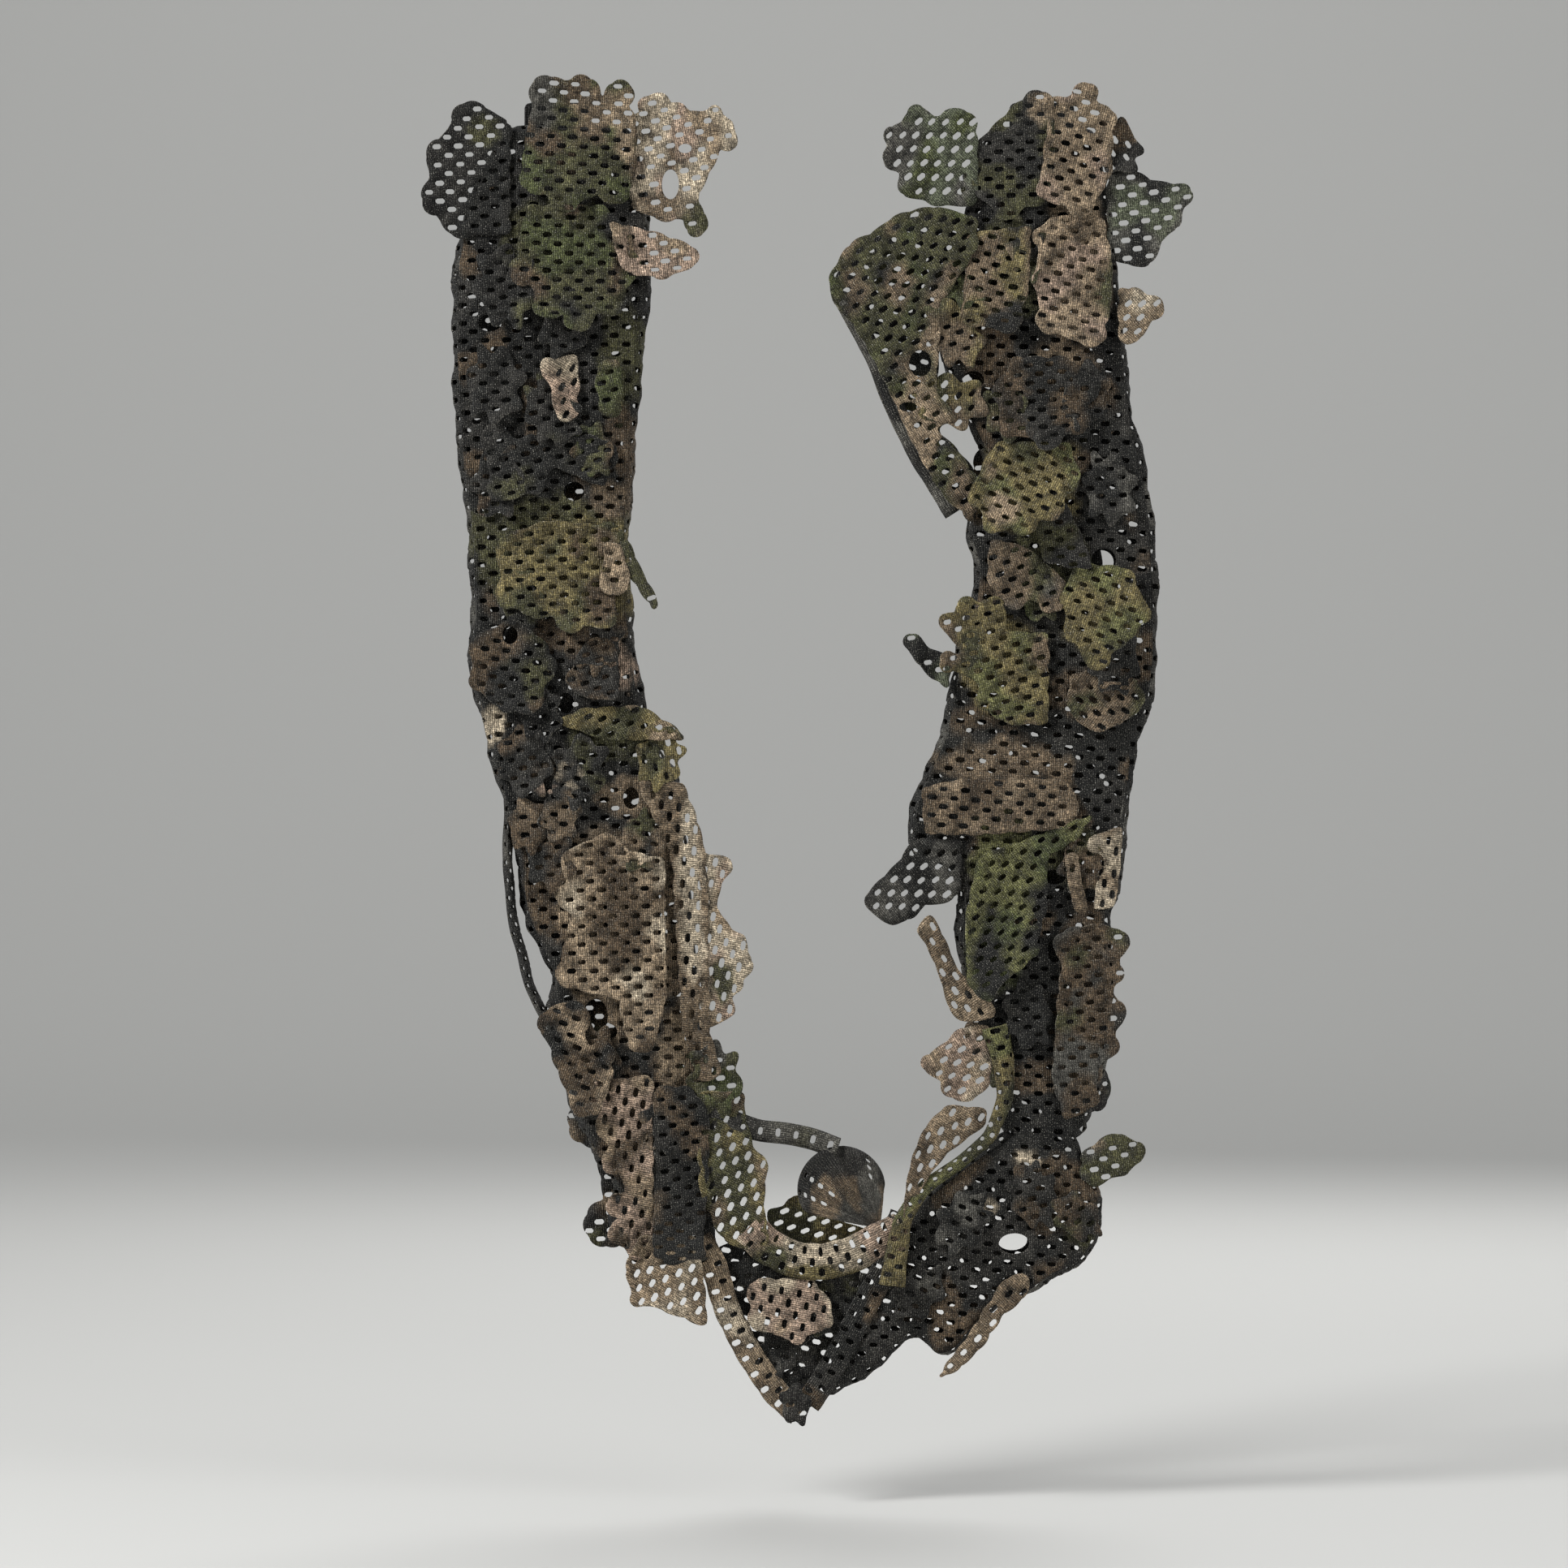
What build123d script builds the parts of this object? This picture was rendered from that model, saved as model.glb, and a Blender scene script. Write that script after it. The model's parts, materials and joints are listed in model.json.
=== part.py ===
"""Leafy camouflage face mask, a hanging U of punched net cloth sewn over with lobed leaves.

Two tabs of hook fastener hold the mask behind its top ends. Each arm is a flattened tube: a front
net and a back net, joined along the edges by folds. Both arms hang to the chin, where the cloth is
gathered to a point. Lobed leaves are sewn on the front in overlapping layers, and a row of leaves
covers the back of each arm.

Frame: X to the right, Y away from the viewer, Z up. The origin is midway between the two top ends,
on the line where the mask meets the brim of a hat. Lengths are in millimetres.
"""
import os

from build123d import *

# Driving dimensions
CLOTH = 1.0             # thickness of one net cloth with its nap
GAP = 0.4               # air between cloths that lie over each other
HALF_DEPTH = 6.0        # from the middle of an arm to the inner face of its front or back net
LAYER_STEP = CLOTH + GAP
WAIST_Z = -212.0        # height of the gathered waist, where the chin loop folds up
WAIST_GAP = 7.0         # from the waist line to the nearest cloth on each side
UPPER_END_Z = WAIST_Z + WAIST_GAP
LOWER_START_Z = WAIST_Z - WAIST_GAP
ARM_TAB_X = 90.0        # from the middle plane to the middle of each hook tab
TAB_WIDTH = 24.0
TAB_HEIGHT = 46.0
TAB_MIDDLE_Z = 9.0
TAB_THICKNESS = 1.5
PATCH_WIDTH = 20.0
PATCH_HEIGHT = 42.0
PATCH_THICKNESS = 2.5
PATCH_CORNER = 2.0
TAB_FRONT_Y = HALF_DEPTH + 2 * LAYER_STEP
FRONT_NET_Y = -(HALF_DEPTH + CLOTH)
ELASTIC_WIDTH = 6.0
ELASTIC_THICKNESS = 0.8
HEM_WIDTH = 6.0
HEM_THICKNESS = 3.0
HEM_POCKET = 0.3        # clearance round the elastic inside a hem
LOOP_THICKNESS = 6.0    # depth of the rolled loop of cloth at the chin

os.makedirs("parts", exist_ok=True)


def front(layer):
    """Plane of a front cloth's inner face. Layer 0 is the net, and higher layers lie over it."""
    return Plane.XZ.offset(HALF_DEPTH + layer * LAYER_STEP)


def back(layer):
    """Plane of a back cloth's outer face. Layer 0 is the net, and higher layers lie behind it."""
    return Plane.XZ.offset(-(HALF_DEPTH + layer * LAYER_STEP + CLOTH))


def save(builder, name):
    """Label a finished piece and write it to its own file."""
    builder.part.label = name
    export_step(builder.part, f"parts/{name}.step")


def cut(plane, outline, lobes=(), openings=(), thickness=CLOTH):
    """What one flat cloth is cut to: an outline, with round lobes on it and oval openings in it.

    A lobe is (x, z, radius), and an opening is (x, z, half width, half height).
    """
    return plane, outline, lobes, openings, thickness


def sheet(name, *cuts):
    """One flat cloth, or several small ones of a kind that share a file."""
    with BuildPart() as cloths:
        for plane, outline, lobes, openings, thickness in cuts:
            with BuildSketch(plane):
                with BuildLine():
                    Polyline(*outline, close=True)
                make_face()
                for x, z, radius in lobes:
                    with Locations((x, z)):
                        Circle(radius)
                for x, z, half_width, half_height in openings:
                    with Locations((x, z)):
                        Ellipse(half_width, half_height, mode=Mode.SUBTRACT)
            extrude(amount=thickness)
    save(cloths, name)


def band(path, width, nearest_y, depth):
    """A band of cloth or elastic: a path, its width across, and how deep it reaches from a Y."""
    return path, width, nearest_y, depth


def bands(name, *made):
    """One band, or several of a kind that share a file."""
    with BuildPart() as ribbons:
        for path, width, nearest_y, depth in made:
            with BuildSketch(Plane.XZ.offset(-(nearest_y + depth))):
                with BuildLine():
                    Polyline(*path)
                trace(line_width=width)
            extrude(amount=depth)
    save(ribbons, name)


def shifted(path, dx):
    """The same path moved sideways."""
    return [(x + dx, z) for x, z in path]


# ---- Hat side: fastening tabs ------------------------------------------------------------------

with BuildPart() as end_tabs:
    with BuildSketch(Plane.XZ.offset(-(TAB_FRONT_Y + TAB_THICKNESS))):
        with Locations((-ARM_TAB_X, TAB_MIDDLE_Z), (ARM_TAB_X, TAB_MIDDLE_Z)):
            RectangleRounded(TAB_WIDTH, TAB_HEIGHT, PATCH_CORNER)
    extrude(amount=TAB_THICKNESS)
save(end_tabs, "end_tabs")

PATCH_REAR_Y = TAB_FRONT_Y + TAB_THICKNESS + PATCH_THICKNESS
with BuildPart() as hook_patches:
    with BuildSketch(Plane.XZ.offset(-PATCH_REAR_Y)):
        with Locations((-ARM_TAB_X, TAB_MIDDLE_Z), (ARM_TAB_X, TAB_MIDDLE_Z)):
            RectangleRounded(PATCH_WIDTH, PATCH_HEIGHT, PATCH_CORNER)
    extrude(amount=PATCH_THICKNESS)
save(hook_patches, "hook_patches")

# ---- Left arm, above the waist -----------------------------------------------------------------

LEFT_UPPER_OUTER = [(-122, -10), (-126, -34), (-126, -62), (-124, -100), (-120, -130),
                    (-119, -158), (-121, -176), (-117, -192), (-113, UPPER_END_Z)]
LEFT_UPPER_INNER = [(-58, -2), (-57, -40), (-60, -62), (-62, -80), (-63, -104), (-65, -128),
                    (-64, -158), (-62, -176), (-60, -188), (-56, UPPER_END_Z)]
LEFT_UPPER = [(-108, 20), (-64, 20), *LEFT_UPPER_INNER, *reversed(LEFT_UPPER_OUTER)]
LEFT_UPPER_HOLES = [(-83, -113, 4.0, 3.6), (-106.5, -166, 3.4, 3.9), (-114, -51, 4.5, 3.2),
                    (-111, -83, 3.0, 4.0), (-86, -191, 3.2, 4.0)]

sheet("left_upper_front_net",
      cut(front(0), LEFT_UPPER, openings=LEFT_UPPER_HOLES))
sheet("left_upper_back_net",
      cut(back(0), LEFT_UPPER, openings=LEFT_UPPER_HOLES[:2]))

sheet("left_dark_leaf",
      cut(front(1),
          [(-110, 24), (-124, 26), (-134, 14), (-137, 0), (-136, -8), (-128, -17), (-110, -19)],
          lobes=[(-121, 23, 7.5), (-131, 10, 7), (-132, -5, 7.5), (-124, -12, 8), (-114, 20, 4.5)]))
sheet("left_crown_leaf",
      cut(front(2),
          [(-102, 8), (-99, 26), (-94, 32), (-66, 32), (-60, 24), (-60, 2), (-78, -6), (-96, -4)],
          lobes=[(-92, 33, 7.3), (-80, 33.5, 7), (-66, 33, 5.5), (-97, 2, 6), (-86, -5, 6), (-68, -2, 6)]))
sheet("left_tan_leaf",
      cut(front(1),
          [(-59, 26), (-46, 28), (-30, 25), (-28, 12), (-35, 0), (-40, -12), (-50, -14), (-59, -8)],
          lobes=[(-52, 29, 4.8), (-45, 26, 4), (-30, 24, 4.5), (-24.5, 16, 4.5), (-25, 20, 4),
                 (-38, -15, 4.5), (-38, -11, 3.5)],
          openings=[(-47.5, 0, 3.2, 5.6), (-42, 13, 2.8, 1.8)]))
sheet("left_moss_leaf",
      cut(front(1),
          [(-100, -8), (-72, -8), (-62, -18), (-60, -34), (-68, -44), (-82, -52), (-96, -42), (-104, -24)],
          lobes=[(-70, -43, 6.5), (-81, -51, 5.5), (-92, -45, 6), (-101, -32, 6), (-63, -30, 5)]))
sheet("left_small_leaves",
      cut(front(1),
          [(-74, -66), (-67, -64), (-65, -72), (-66, -82), (-73, -82), (-75, -74)],
          lobes=[(-69.5, -82, 4.4)]),
      cut(front(1),
          [(-93, -66), (-82, -62), (-81, -76), (-84, -86), (-90, -82)],
          lobes=[(-85.5, -83, 4.6), (-92, -68, 4)]),
      cut(front(2),
          [(-72, -132), (-66, -132), (-63, -142), (-66, -150), (-72, -148)],
          lobes=[(-68, -146, 6)]),
      cut(front(1),
          [(-80, -170), (-68, -168), (-66, -182), (-69, -190), (-79, -190), (-86, -184)],
          lobes=[(-74, -172, 5.5), (-82, -182, 4), (-70, -187, 4)]),
      cut(front(2),
          [(-70, -14), (-52, -18), (-42, -22), (-38, -29), (-46, -34), (-54, -35), (-66, -30)],
          lobes=[(-42, -27, 5), (-51, -32, 4.5), (-60, -30, 4.5)]))
sheet("left_gold_leaf",
      cut(front(1),
          [(-110, -130), (-92, -124), (-68, -126), (-68, -160), (-80, -164), (-96, -158), (-110, -152)],
          lobes=[(-107, -136, 5), (-106, -151, 6), (-97, -155, 5.5), (-84, -162, 5), (-72, -160, 5),
                 (-70, -130, 5.5)]))
sheet("left_hanging_finger",
      cut(front(3),
          [(-67, -134), (-63, -134), (-60, -139), (-51, -155), (-53, -158), (-57, -152), (-65, -141)]))
sheet("left_bark_leaves",
      cut(front(1),
          [(-116, -90), (-98, -96), (-78, -92), (-68, -96), (-72, -112), (-90, -104), (-106, -118),
           (-114, -108)],
          lobes=[(-112, -94, 5.5), (-98, -97, 5), (-72, -100, 5.5), (-110, -112, 5), (-98, -110, 5)]),
      cut(front(1),
          [(-120, -166), (-104, -160), (-92, -170), (-94, -188), (-108, -196), (-118, -186)],
          lobes=[(-117, -172, 5), (-117, -182, 5), (-100, -190, 6), (-94, -178, 5)],
          openings=[(-106.5, -166, 3.0, 3.4)]))
sheet("left_olive_wrap",
      cut(front(1),
          [(-90, -198), (-80, -193), (-58, -192), (-52, -196), (-44, -201), (-42, -204.5), (-72, -204.5)]))

# ---- Right arm, above the waist ----------------------------------------------------------------

RIGHT_UPPER_OUTER = [(112, -4), (116, -40), (119, -65), (122, -90), (126, -106), (129, -126),
                     (130, -150), (130, -176), (128, -192), (122, UPPER_END_Z)]
RIGHT_UPPER_INNER = [(61, -18), (54, -46), (55, -64), (62, -80), (66, -92), (71, -100),
                     (68, -110), (63, -128), (67, -140), (66, -152), (60, -170), (57, -190),
                     (54, UPPER_END_Z)]
RIGHT_UPPER = [(70, 18), (108, 20), *RIGHT_UPPER_OUTER, *reversed(RIGHT_UPPER_INNER)]
RIGHT_UPPER_HOLES = [(112, -138.5, 4.8, 4.6), (64, -72, 4.2, 3.4)]

sheet("right_upper_front_net",
      cut(front(0), RIGHT_UPPER, openings=RIGHT_UPPER_HOLES))
sheet("right_upper_back_net",
      cut(back(0), RIGHT_UPPER, openings=RIGHT_UPPER_HOLES))

sheet("right_shoulder_cloth",
      cut(front(1),
          [(60, -12), (50, -8), (36, -11), (28, -17), (18, -22), (10, -35), (12, -44), (20, -52),
           (26, -62), (34, -78), (40, -92), (47, -105), (59, -125), (61, -110), (55, -97), (50, -90),
           (56, -86), (50, -76), (51, -60), (52, -44), (60, -24)],
          openings=[(44.5, -66, 4.2, 5.0), (40, -82, 3.6, 1.8)]))

sheet("right_green_top_leaf",
      cut(front(2),
          [(62, 19), (62, -8), (50, -8), (40, -4), (36, 4), (33, 9), (33, 19), (42, 25), (52, 24)],
          lobes=[(43, 23.5, 5.2), (56.5, 22.5, 5.5), (34.5, 17, 4.6), (33.5, 9, 4), (40, -1, 4.2)]))
sheet("right_dark_top_leaf",
      cut(front(1),
          [(64, 14), (72, 22), (81, 31), (92, 31), (96, 8), (90, -8), (74, -10), (64, -4)],
          lobes=[(87.5, 29, 6), (76, -9, 5), (68, 4, 5.5)]))
sheet("right_tan_top_leaf",
      cut(front(2),
          [(93, 28), (105, 36), (109, 30), (115, 22), (115, 4), (108, -8), (94, -8), (89, 2), (90, 14)],
          lobes=[(105, 33.5, 4.8), (112, 24, 4.5), (94, 28, 4.5), (92, -2, 5), (103, -8, 5)]))
sheet("right_spiky_leaf",
      cut(front(1),
          [(117, 5), (122, 6), (131, 1), (144, -1), (145, -4), (140, -12), (134, -20), (130, -29),
           (122, -30), (117, -26)],
          lobes=[(141.5, -4, 3.8), (137, -14, 3.6), (127, -27, 3.4)]))
sheet("right_long_tan_leaf",
      cut(front(1),
          [(92, -12), (112, -12), (115, -30), (114, -50), (104, -60), (94, -56), (88, -46), (87, -30)],
          lobes=[(92, -51, 5.4), (107, -56, 5.8), (90, -20, 4.5), (89, -36, 4)]))
sheet("right_dark_leaves",
      cut(front(1),
          [(62, -18), (85, -16), (84, -40), (80, -50), (68, -54), (60, -46)],
          lobes=[(64, -49, 5), (76, -51, 5.6)]),
      cut(front(1),
          [(78, -64), (98, -64), (108, -72), (104, -90), (92, -95), (78, -92), (72, -80)],
          lobes=[(78, -89, 5), (91, -94, 5.2), (102, -87, 5.4), (106, -75, 5), (75, -76, 4.5)]))
sheet("right_gold_leaf",
      cut(front(3),
          [(72, -98), (100, -98), (101, -110), (92, -124), (72, -128), (64, -116), (66, -106)],
          lobes=[(67, -115, 5.2), (71.5, -126, 4.8), (82, -127, 5), (92, -120, 5), (98, -108, 5.4)]))
sheet("right_yellow_leaf",
      cut(front(3),
          [(101, -143), (110, -143), (123, -145), (127, -156), (122, -168), (114, -174), (111, -182),
           (104, -176), (100, -166), (97, -156)],
          lobes=[(117, -148, 4.8), (101, -153, 5.4), (125, -158, 4.4), (109, -177, 4.8), (101, -165, 4.4)]))
sheet("right_moss_leaf",
      cut(front(3),
          [(88, -165), (76, -165), (75, -156), (61, -157), (51, -161), (56, -169), (60, -173),
           (52, -176), (66, -184), (71, -196), (78, -199), (88, -199)],
          lobes=[(61.5, -156.5, 4.8), (71, -156.5, 4.8), (53.5, -161.5, 3.8), (54, -176, 4.2),
                 (68, -190, 4)]))
sheet("right_small_leaves",
      cut(front(1),
          [(117.5, -38), (126, -40), (134, -43), (128, -53), (120, -60), (117.5, -58)],
          lobes=[(130, -45.5, 4.6), (123, -42, 4.2), (122.5, -54, 4.4)]),
      cut(front(1),
          [(84, -112), (94, -110), (104, -130), (108, -142), (98, -142), (88, -132)],
          lobes=[(93, -136, 4.4)]),
      cut(front(2),
          [(70, -131), (84, -134), (98, -146), (96, -158), (84, -152), (74, -154), (69, -146)],
          lobes=[(74, -136, 4.6), (79, -152, 5), (92, -154, 4.4)]),
      cut(front(1),
          [(100, -180), (112, -184), (124, -182), (127, -192), (118, -199), (104, -200), (98, -192)],
          lobes=[(106, -184, 5), (122, -189, 5), (110, -197, 5)]),
      cut(front(0),
          [(39, -167), (43, -166), (48, -171), (56, -174), (55, -186), (49, -182), (43, -176)],
          lobes=[(41.5, -168.5, 3.6)]))

# ---- Edges of both arms, above the waist -------------------------------------------------------

FOLD_Y = -(HALF_DEPTH - GAP)
FOLD_DEPTH = -2 * FOLD_Y
HEM_PATH = [(16, -42), (27, -62), (38, -88), (48, -107), (57, -121)]
POCKET_DEPTH = ELASTIC_THICKNESS + 2 * HEM_POCKET
POCKET_WIDTH = HEM_WIDTH - 2 * CLOTH
POCKET_Y = FRONT_NET_Y + (HEM_THICKNESS - POCKET_DEPTH) / 2

bands("outer_folds",
      band(shifted(LEFT_UPPER_OUTER, CLOTH), CLOTH, FOLD_Y, FOLD_DEPTH),
      band(shifted(RIGHT_UPPER_OUTER, -CLOTH), CLOTH, FOLD_Y, FOLD_DEPTH))
bands("inner_folds",
      band(shifted(LEFT_UPPER_INNER, -CLOTH), CLOTH, FOLD_Y, FOLD_DEPTH),
      band(shifted(RIGHT_UPPER_INNER[7:], CLOTH), CLOTH, FOLD_Y, FOLD_DEPTH))
bands("edge_elastics",
      band(shifted(LEFT_UPPER_INNER, -2.4 * CLOTH), ELASTIC_THICKNESS, -ELASTIC_WIDTH / 2,
           ELASTIC_WIDTH),
      band(HEM_PATH, POCKET_WIDTH - 2 * HEM_POCKET, POCKET_Y + HEM_POCKET, ELASTIC_THICKNESS))

with BuildPart() as right_edge_hem:
    with BuildSketch(Plane.XZ.offset(-(FRONT_NET_Y + HEM_THICKNESS))):
        with BuildLine():
            Polyline(*HEM_PATH)
        trace(line_width=HEM_WIDTH)
    extrude(amount=HEM_THICKNESS)
    with BuildSketch(Plane.XZ.offset(-(POCKET_Y + POCKET_DEPTH))):
        with BuildLine():
            Polyline(*HEM_PATH)
        trace(line_width=POCKET_WIDTH)
    extrude(amount=POCKET_DEPTH, mode=Mode.SUBTRACT)
save(right_edge_hem, "right_edge_hem")

# ---- Left arm, below the waist -----------------------------------------------------------------

LEFT_LOWER = [(-110, LOWER_START_Z), (-46, LOWER_START_Z), (-44, -240), (-41, -275), (-38, -318),
              (-34, -345), (-33, -372), (-34, -396), (-60, -396), (-68, -382), (-66, -368),
              (-74, -358), (-82, -340), (-88, -322), (-93, -306), (-88, -293), (-94, -282),
              (-100, -268), (-103, -245)]
LEFT_LOWER_HOLES = [(-75, -306, 4.6, 6.2), (-71, -312, 4.2, 3.2), (-62, -226, 3.0, 4.2),
                    (-94, -230, 4.2, 3.0)]

sheet("left_lower_front_net",
      cut(front(0), LEFT_LOWER, openings=LEFT_LOWER_HOLES))
sheet("left_lower_back_net",
      cut(back(0), LEFT_LOWER, openings=LEFT_LOWER_HOLES[:2]))
bands("left_slit_hem",
      band([(-107, LOWER_START_Z - 1), (-108, -250), (-105, -276), (-100, -294), (-95, -305)],
           3 * CLOTH, FOLD_Y, FOLD_DEPTH))
sheet("left_tan_leaf_low",
      cut(front(1),
          [(-86, -246), (-70, -238), (-62, -246), (-50, -248), (-49, -300), (-54, -322), (-64, -314),
           (-66, -300), (-84, -296), (-88, -286), (-84, -270)],
          lobes=[(-82, -250, 6), (-85, -262, 5), (-85, -291, 5), (-58, -318, 5), (-54, -253, 5)]))
sheet("left_inner_strip",
      cut(front(1),
          [(-60, LOWER_START_Z - 1), (-43, LOWER_START_Z - 1), (-38, -233), (-35, -244), (-33.5, -262),
           (-33.5, -290), (-33, -312), (-28, -328), (-38, -331), (-43, -310), (-45, -280),
           (-46.5, -250), (-52, -236)]))
sheet("left_inner_lobes",
      cut(front(2),
          [(-33, -245), (-27, -249), (-27, -257), (-29, -264), (-27, -272), (-20, -280), (-19, -291),
           (-24, -297), (-27, -308), (-33, -312)],
          lobes=[(-28, -251, 3.9), (-28.5, -274, 3.6), (-22.5, -279.5, 3.8), (-20.5, -287, 4),
                 (-24, -294, 3.6), (-27, -304, 3.6)]))
sheet("left_lobed_leaf",
      cut(front(1),
          [(-76, -330), (-54, -328), (-54, -395), (-62, -393), (-66, -384), (-64, -368), (-70, -356)],
          lobes=[(-72, -336, 5), (-71, -347, 4.6), (-69, -360, 4.4), (-67, -376, 4.6), (-66, -386, 5),
                 (-60, -392, 4)]))
sheet("left_chin_leaves",
      cut(front(2),
          [(-95, -306), (-84, -302), (-80, -312), (-76, -320), (-68, -326), (-74, -344), (-82, -342),
           (-90, -324)],
          lobes=[(-82, -308, 5.2), (-72.5, -320, 5), (-93, -310, 3.6), (-80, -340, 4.2)]),
      cut(front(1),
          [(-53.5, -334), (-40, -334), (-33, -342), (-34, -370), (-36, -398), (-53.5, -398)],
          lobes=[(-46, -398, 5), (-38, -396, 4)]),
      cut(front(2),
          [(-60, -392), (-38, -392), (-35, -404), (-34, -421), (-44, -417), (-52, -413), (-60, -412),
           (-63, -402)],
          lobes=[(-59, -410, 3.6), (-61, -400, 3.4), (-48, -412, 3.8)]))

# ---- Right arm, below the waist ----------------------------------------------------------------

RIGHT_LOWER = [(47, LOWER_START_Z), (121, LOWER_START_Z), (119, -240), (116, -262), (112, -270),
               (114, -300), (112, -322), (107, -338), (104, -346), (74, -346), (77, -332),
               (74, -318), (69, -308), (62, -296), (60, -278), (61, -262), (58, -250), (42, -245),
               (43, -230)]
RIGHT_LOWER_HOLES = [(108, -249, 4.2, 7.0), (94, -282, 2.8, 4.8), (94, -255, 4.4, 2.8)]

sheet("right_lower_front_net",
      cut(front(0), RIGHT_LOWER, openings=RIGHT_LOWER_HOLES))
sheet("right_lower_back_net",
      cut(back(0), RIGHT_LOWER, openings=RIGHT_LOWER_HOLES[:1]))
sheet("right_tan_wrap",
      cut(front(2),
          [(45, -222), (60, LOWER_START_Z), (98, LOWER_START_Z), (103, -228), (100, -237), (64, -239.5),
           (46, -239)]))
sheet("right_green_leaf_low",
      cut(front(1),
          [(66, -247), (84, -241), (108, -232), (101, -242), (91, -247), (91, -262), (88, -276),
           (83, -288), (75, -294), (70, -304), (62, -296), (61, -270), (64, -256)],
          lobes=[(86, -266, 5), (83, -281, 5), (66, -290, 4.6)]))
sheet("right_pointing_leaf",
      cut(front(1),
          [(56, -241), (42, -241), (36, -250), (25, -260), (23, -267), (31, -272), (41, -271),
           (45, -266), (53, -264), (56, -258)],
          lobes=[(26, -264.5, 3.8), (33, -269.5, 3.6), (51, -260, 4.6)]))
sheet("right_light_leaf",
      cut(front(1),
          [(67, -309.5), (60, -310), (56, -314), (46, -321), (44, -325), (52, -330), (54, -336),
           (62, -338), (67, -331)],
          lobes=[(47, -323.5, 3.5), (60, -315, 4.2), (56, -332, 4.2)]))
sheet("right_inner_strips",
      cut(front(2),
          [(41, -274), (48, -268), (54, -279), (58, -289), (64, -297), (68, -306), (60, -309),
           (55, -304), (51, -290), (46, -280)]),
      cut(front(1),
          [(64, -340), (54, -339), (46, -347), (41, -357), (38, -367), (36, -381), (42, -374),
           (48, -364), (57, -354), (64, -346)]))
sheet("right_outer_leaf",
      cut(front(1),
          [(98, -274), (113, -272), (118, -280), (115, -297), (117, -310), (110, -326), (107, -340),
           (98, -345), (93, -330), (95, -300)],
          lobes=[(117, -279, 5), (114.5, -290, 5), (115, -305, 5.6), (113, -317, 5), (106, -336, 4.6),
                 (98, -280, 5)]))
sheet("right_hem_leaves",
      cut(front(1),
          [(108, -240), (119, -236), (118, -252), (116, -266), (108, -268), (109, -258), (113, -250)],
          lobes=[(109, -243, 3.6)]),
      cut(front(1),
          [(97.5, -246), (102.5, -246), (103.5, -256), (106.5, -268), (101.5, -269), (98.5, -256)]))

# ---- Chin --------------------------------------------------------------------------------------

CHIN_RIGHT = [(37, -387), (46, -375), (62, -362), (80, -350), (100, -350), (103, -358), (107, -368),
              (110, -374), (109, -386), (104, -396), (93, -401), (84, -408), (74, -410), (65, -419),
              (56, -430), (50, -431), (47, -424), (40, -422), (30, -433), (18, -441), (9, -446),
              (15, -432), (25, -414), (34, -400)]

sheet("chin_right_front_net",
      cut(front(0), CHIN_RIGHT, openings=[(79, -390, 5.8, 3.9)]))
sheet("chin_right_back_net",
      cut(back(0), CHIN_RIGHT, openings=[(79, -390, 5.8, 3.9)]))
sheet("chin_point_net",
      cut(back(0),
          [(-33, -397), (-20, -394), (30, -397), (22, -414), (12, -432), (5, -448), (1, -457),
           (-6, -453), (-14, -440), (-24, -424)],
          lobes=[(2, -451, 4)]))
bands("chin_point_strips",
      band([(-31.5, -398), (-27, -414), (-19, -430), (-9, -445), (0, -453)], 8.5, FRONT_NET_Y, CLOTH),
      band([(35, -386), (32, -398), (24, -413), (15, -430), (8, -442)], 8.5,
           FRONT_NET_Y - LAYER_STEP, CLOTH))
sheet("chin_inner_strip",
      cut(front(1),
          [(-31.5, -334), (-24, -334), (-20, -342), (-17, -354), (-12, -366), (-13, -376), (-11, -388),
           (-14, -395), (-26, -389), (-31, -372)],
          lobes=[(-15, -361, 4), (-23, -337, 3.4)]))
sheet("chin_loop",
      cut(front(0),
          [(6, -351), (13, -348), (22, -350), (29, -357), (31, -368), (31, -382), (24, -385), (10, -379),
           (4, -368)],
          thickness=LOOP_THICKNESS))
sheet("chin_bands",
      cut(front(2),
          [(-24, -341), (-8, -345), (4, -347), (3, -351), (-4, -350.5), (-10, -353), (-22, -354)]),
      cut(back(0),
          [(-12, -378), (-4, -377), (8, -380), (26, -386), (12, -391), (-9, -391)],
          lobes=[(-1, -377, 4.4), (-8, -381, 4)]),
      cut(front(2),
          [(-10, -392), (8, -390.5), (20, -388), (28, -387), (29, -396), (25, -402), (12, -403.5),
           (0, -401), (-9, -398)]))
sheet("chin_light_leaf",
      cut(front(1),
          [(-17, -406), (5, -406), (12, -413), (12, -421), (4, -423), (-4, -425), (-17, -421)],
          lobes=[(-15, -410.5, 4.4), (-15.5, -418, 3.8), (-1, -424, 3.6)]))
sheet("chin_thin_leaf",
      cut(front(1),
          [(85, -404), (76, -405), (69, -413), (62, -424), (53, -435), (48.5, -443), (58, -437),
           (68, -427), (75, -416), (84, -410)]))
sheet("chin_side_lobe",
      cut(front(1),
          [(110, -370), (107, -366), (107, -357), (113, -351), (124, -352), (127, -357), (122, -362),
           (115, -366)],
          lobes=[(117, -353.5, 4.4), (124, -356, 4.2), (119, -361.5, 3.6)]))
bands("chin_twisted_strip",
      band([(72, -310), (75, -322), (76, -336), (70, -351), (58, -361), (46, -369), (38, -380)], 7.0,
           FRONT_NET_Y - 2 * LAYER_STEP, CLOTH))

# ---- Rows of leaves on the back ----------------------------------------------------------------

LEAF_STEP = 17.0        # along a back row, from one lobe to the next
LEAF_HALF_WIDTH = 19.0
LOBE_RADIUS = 9.0


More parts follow.
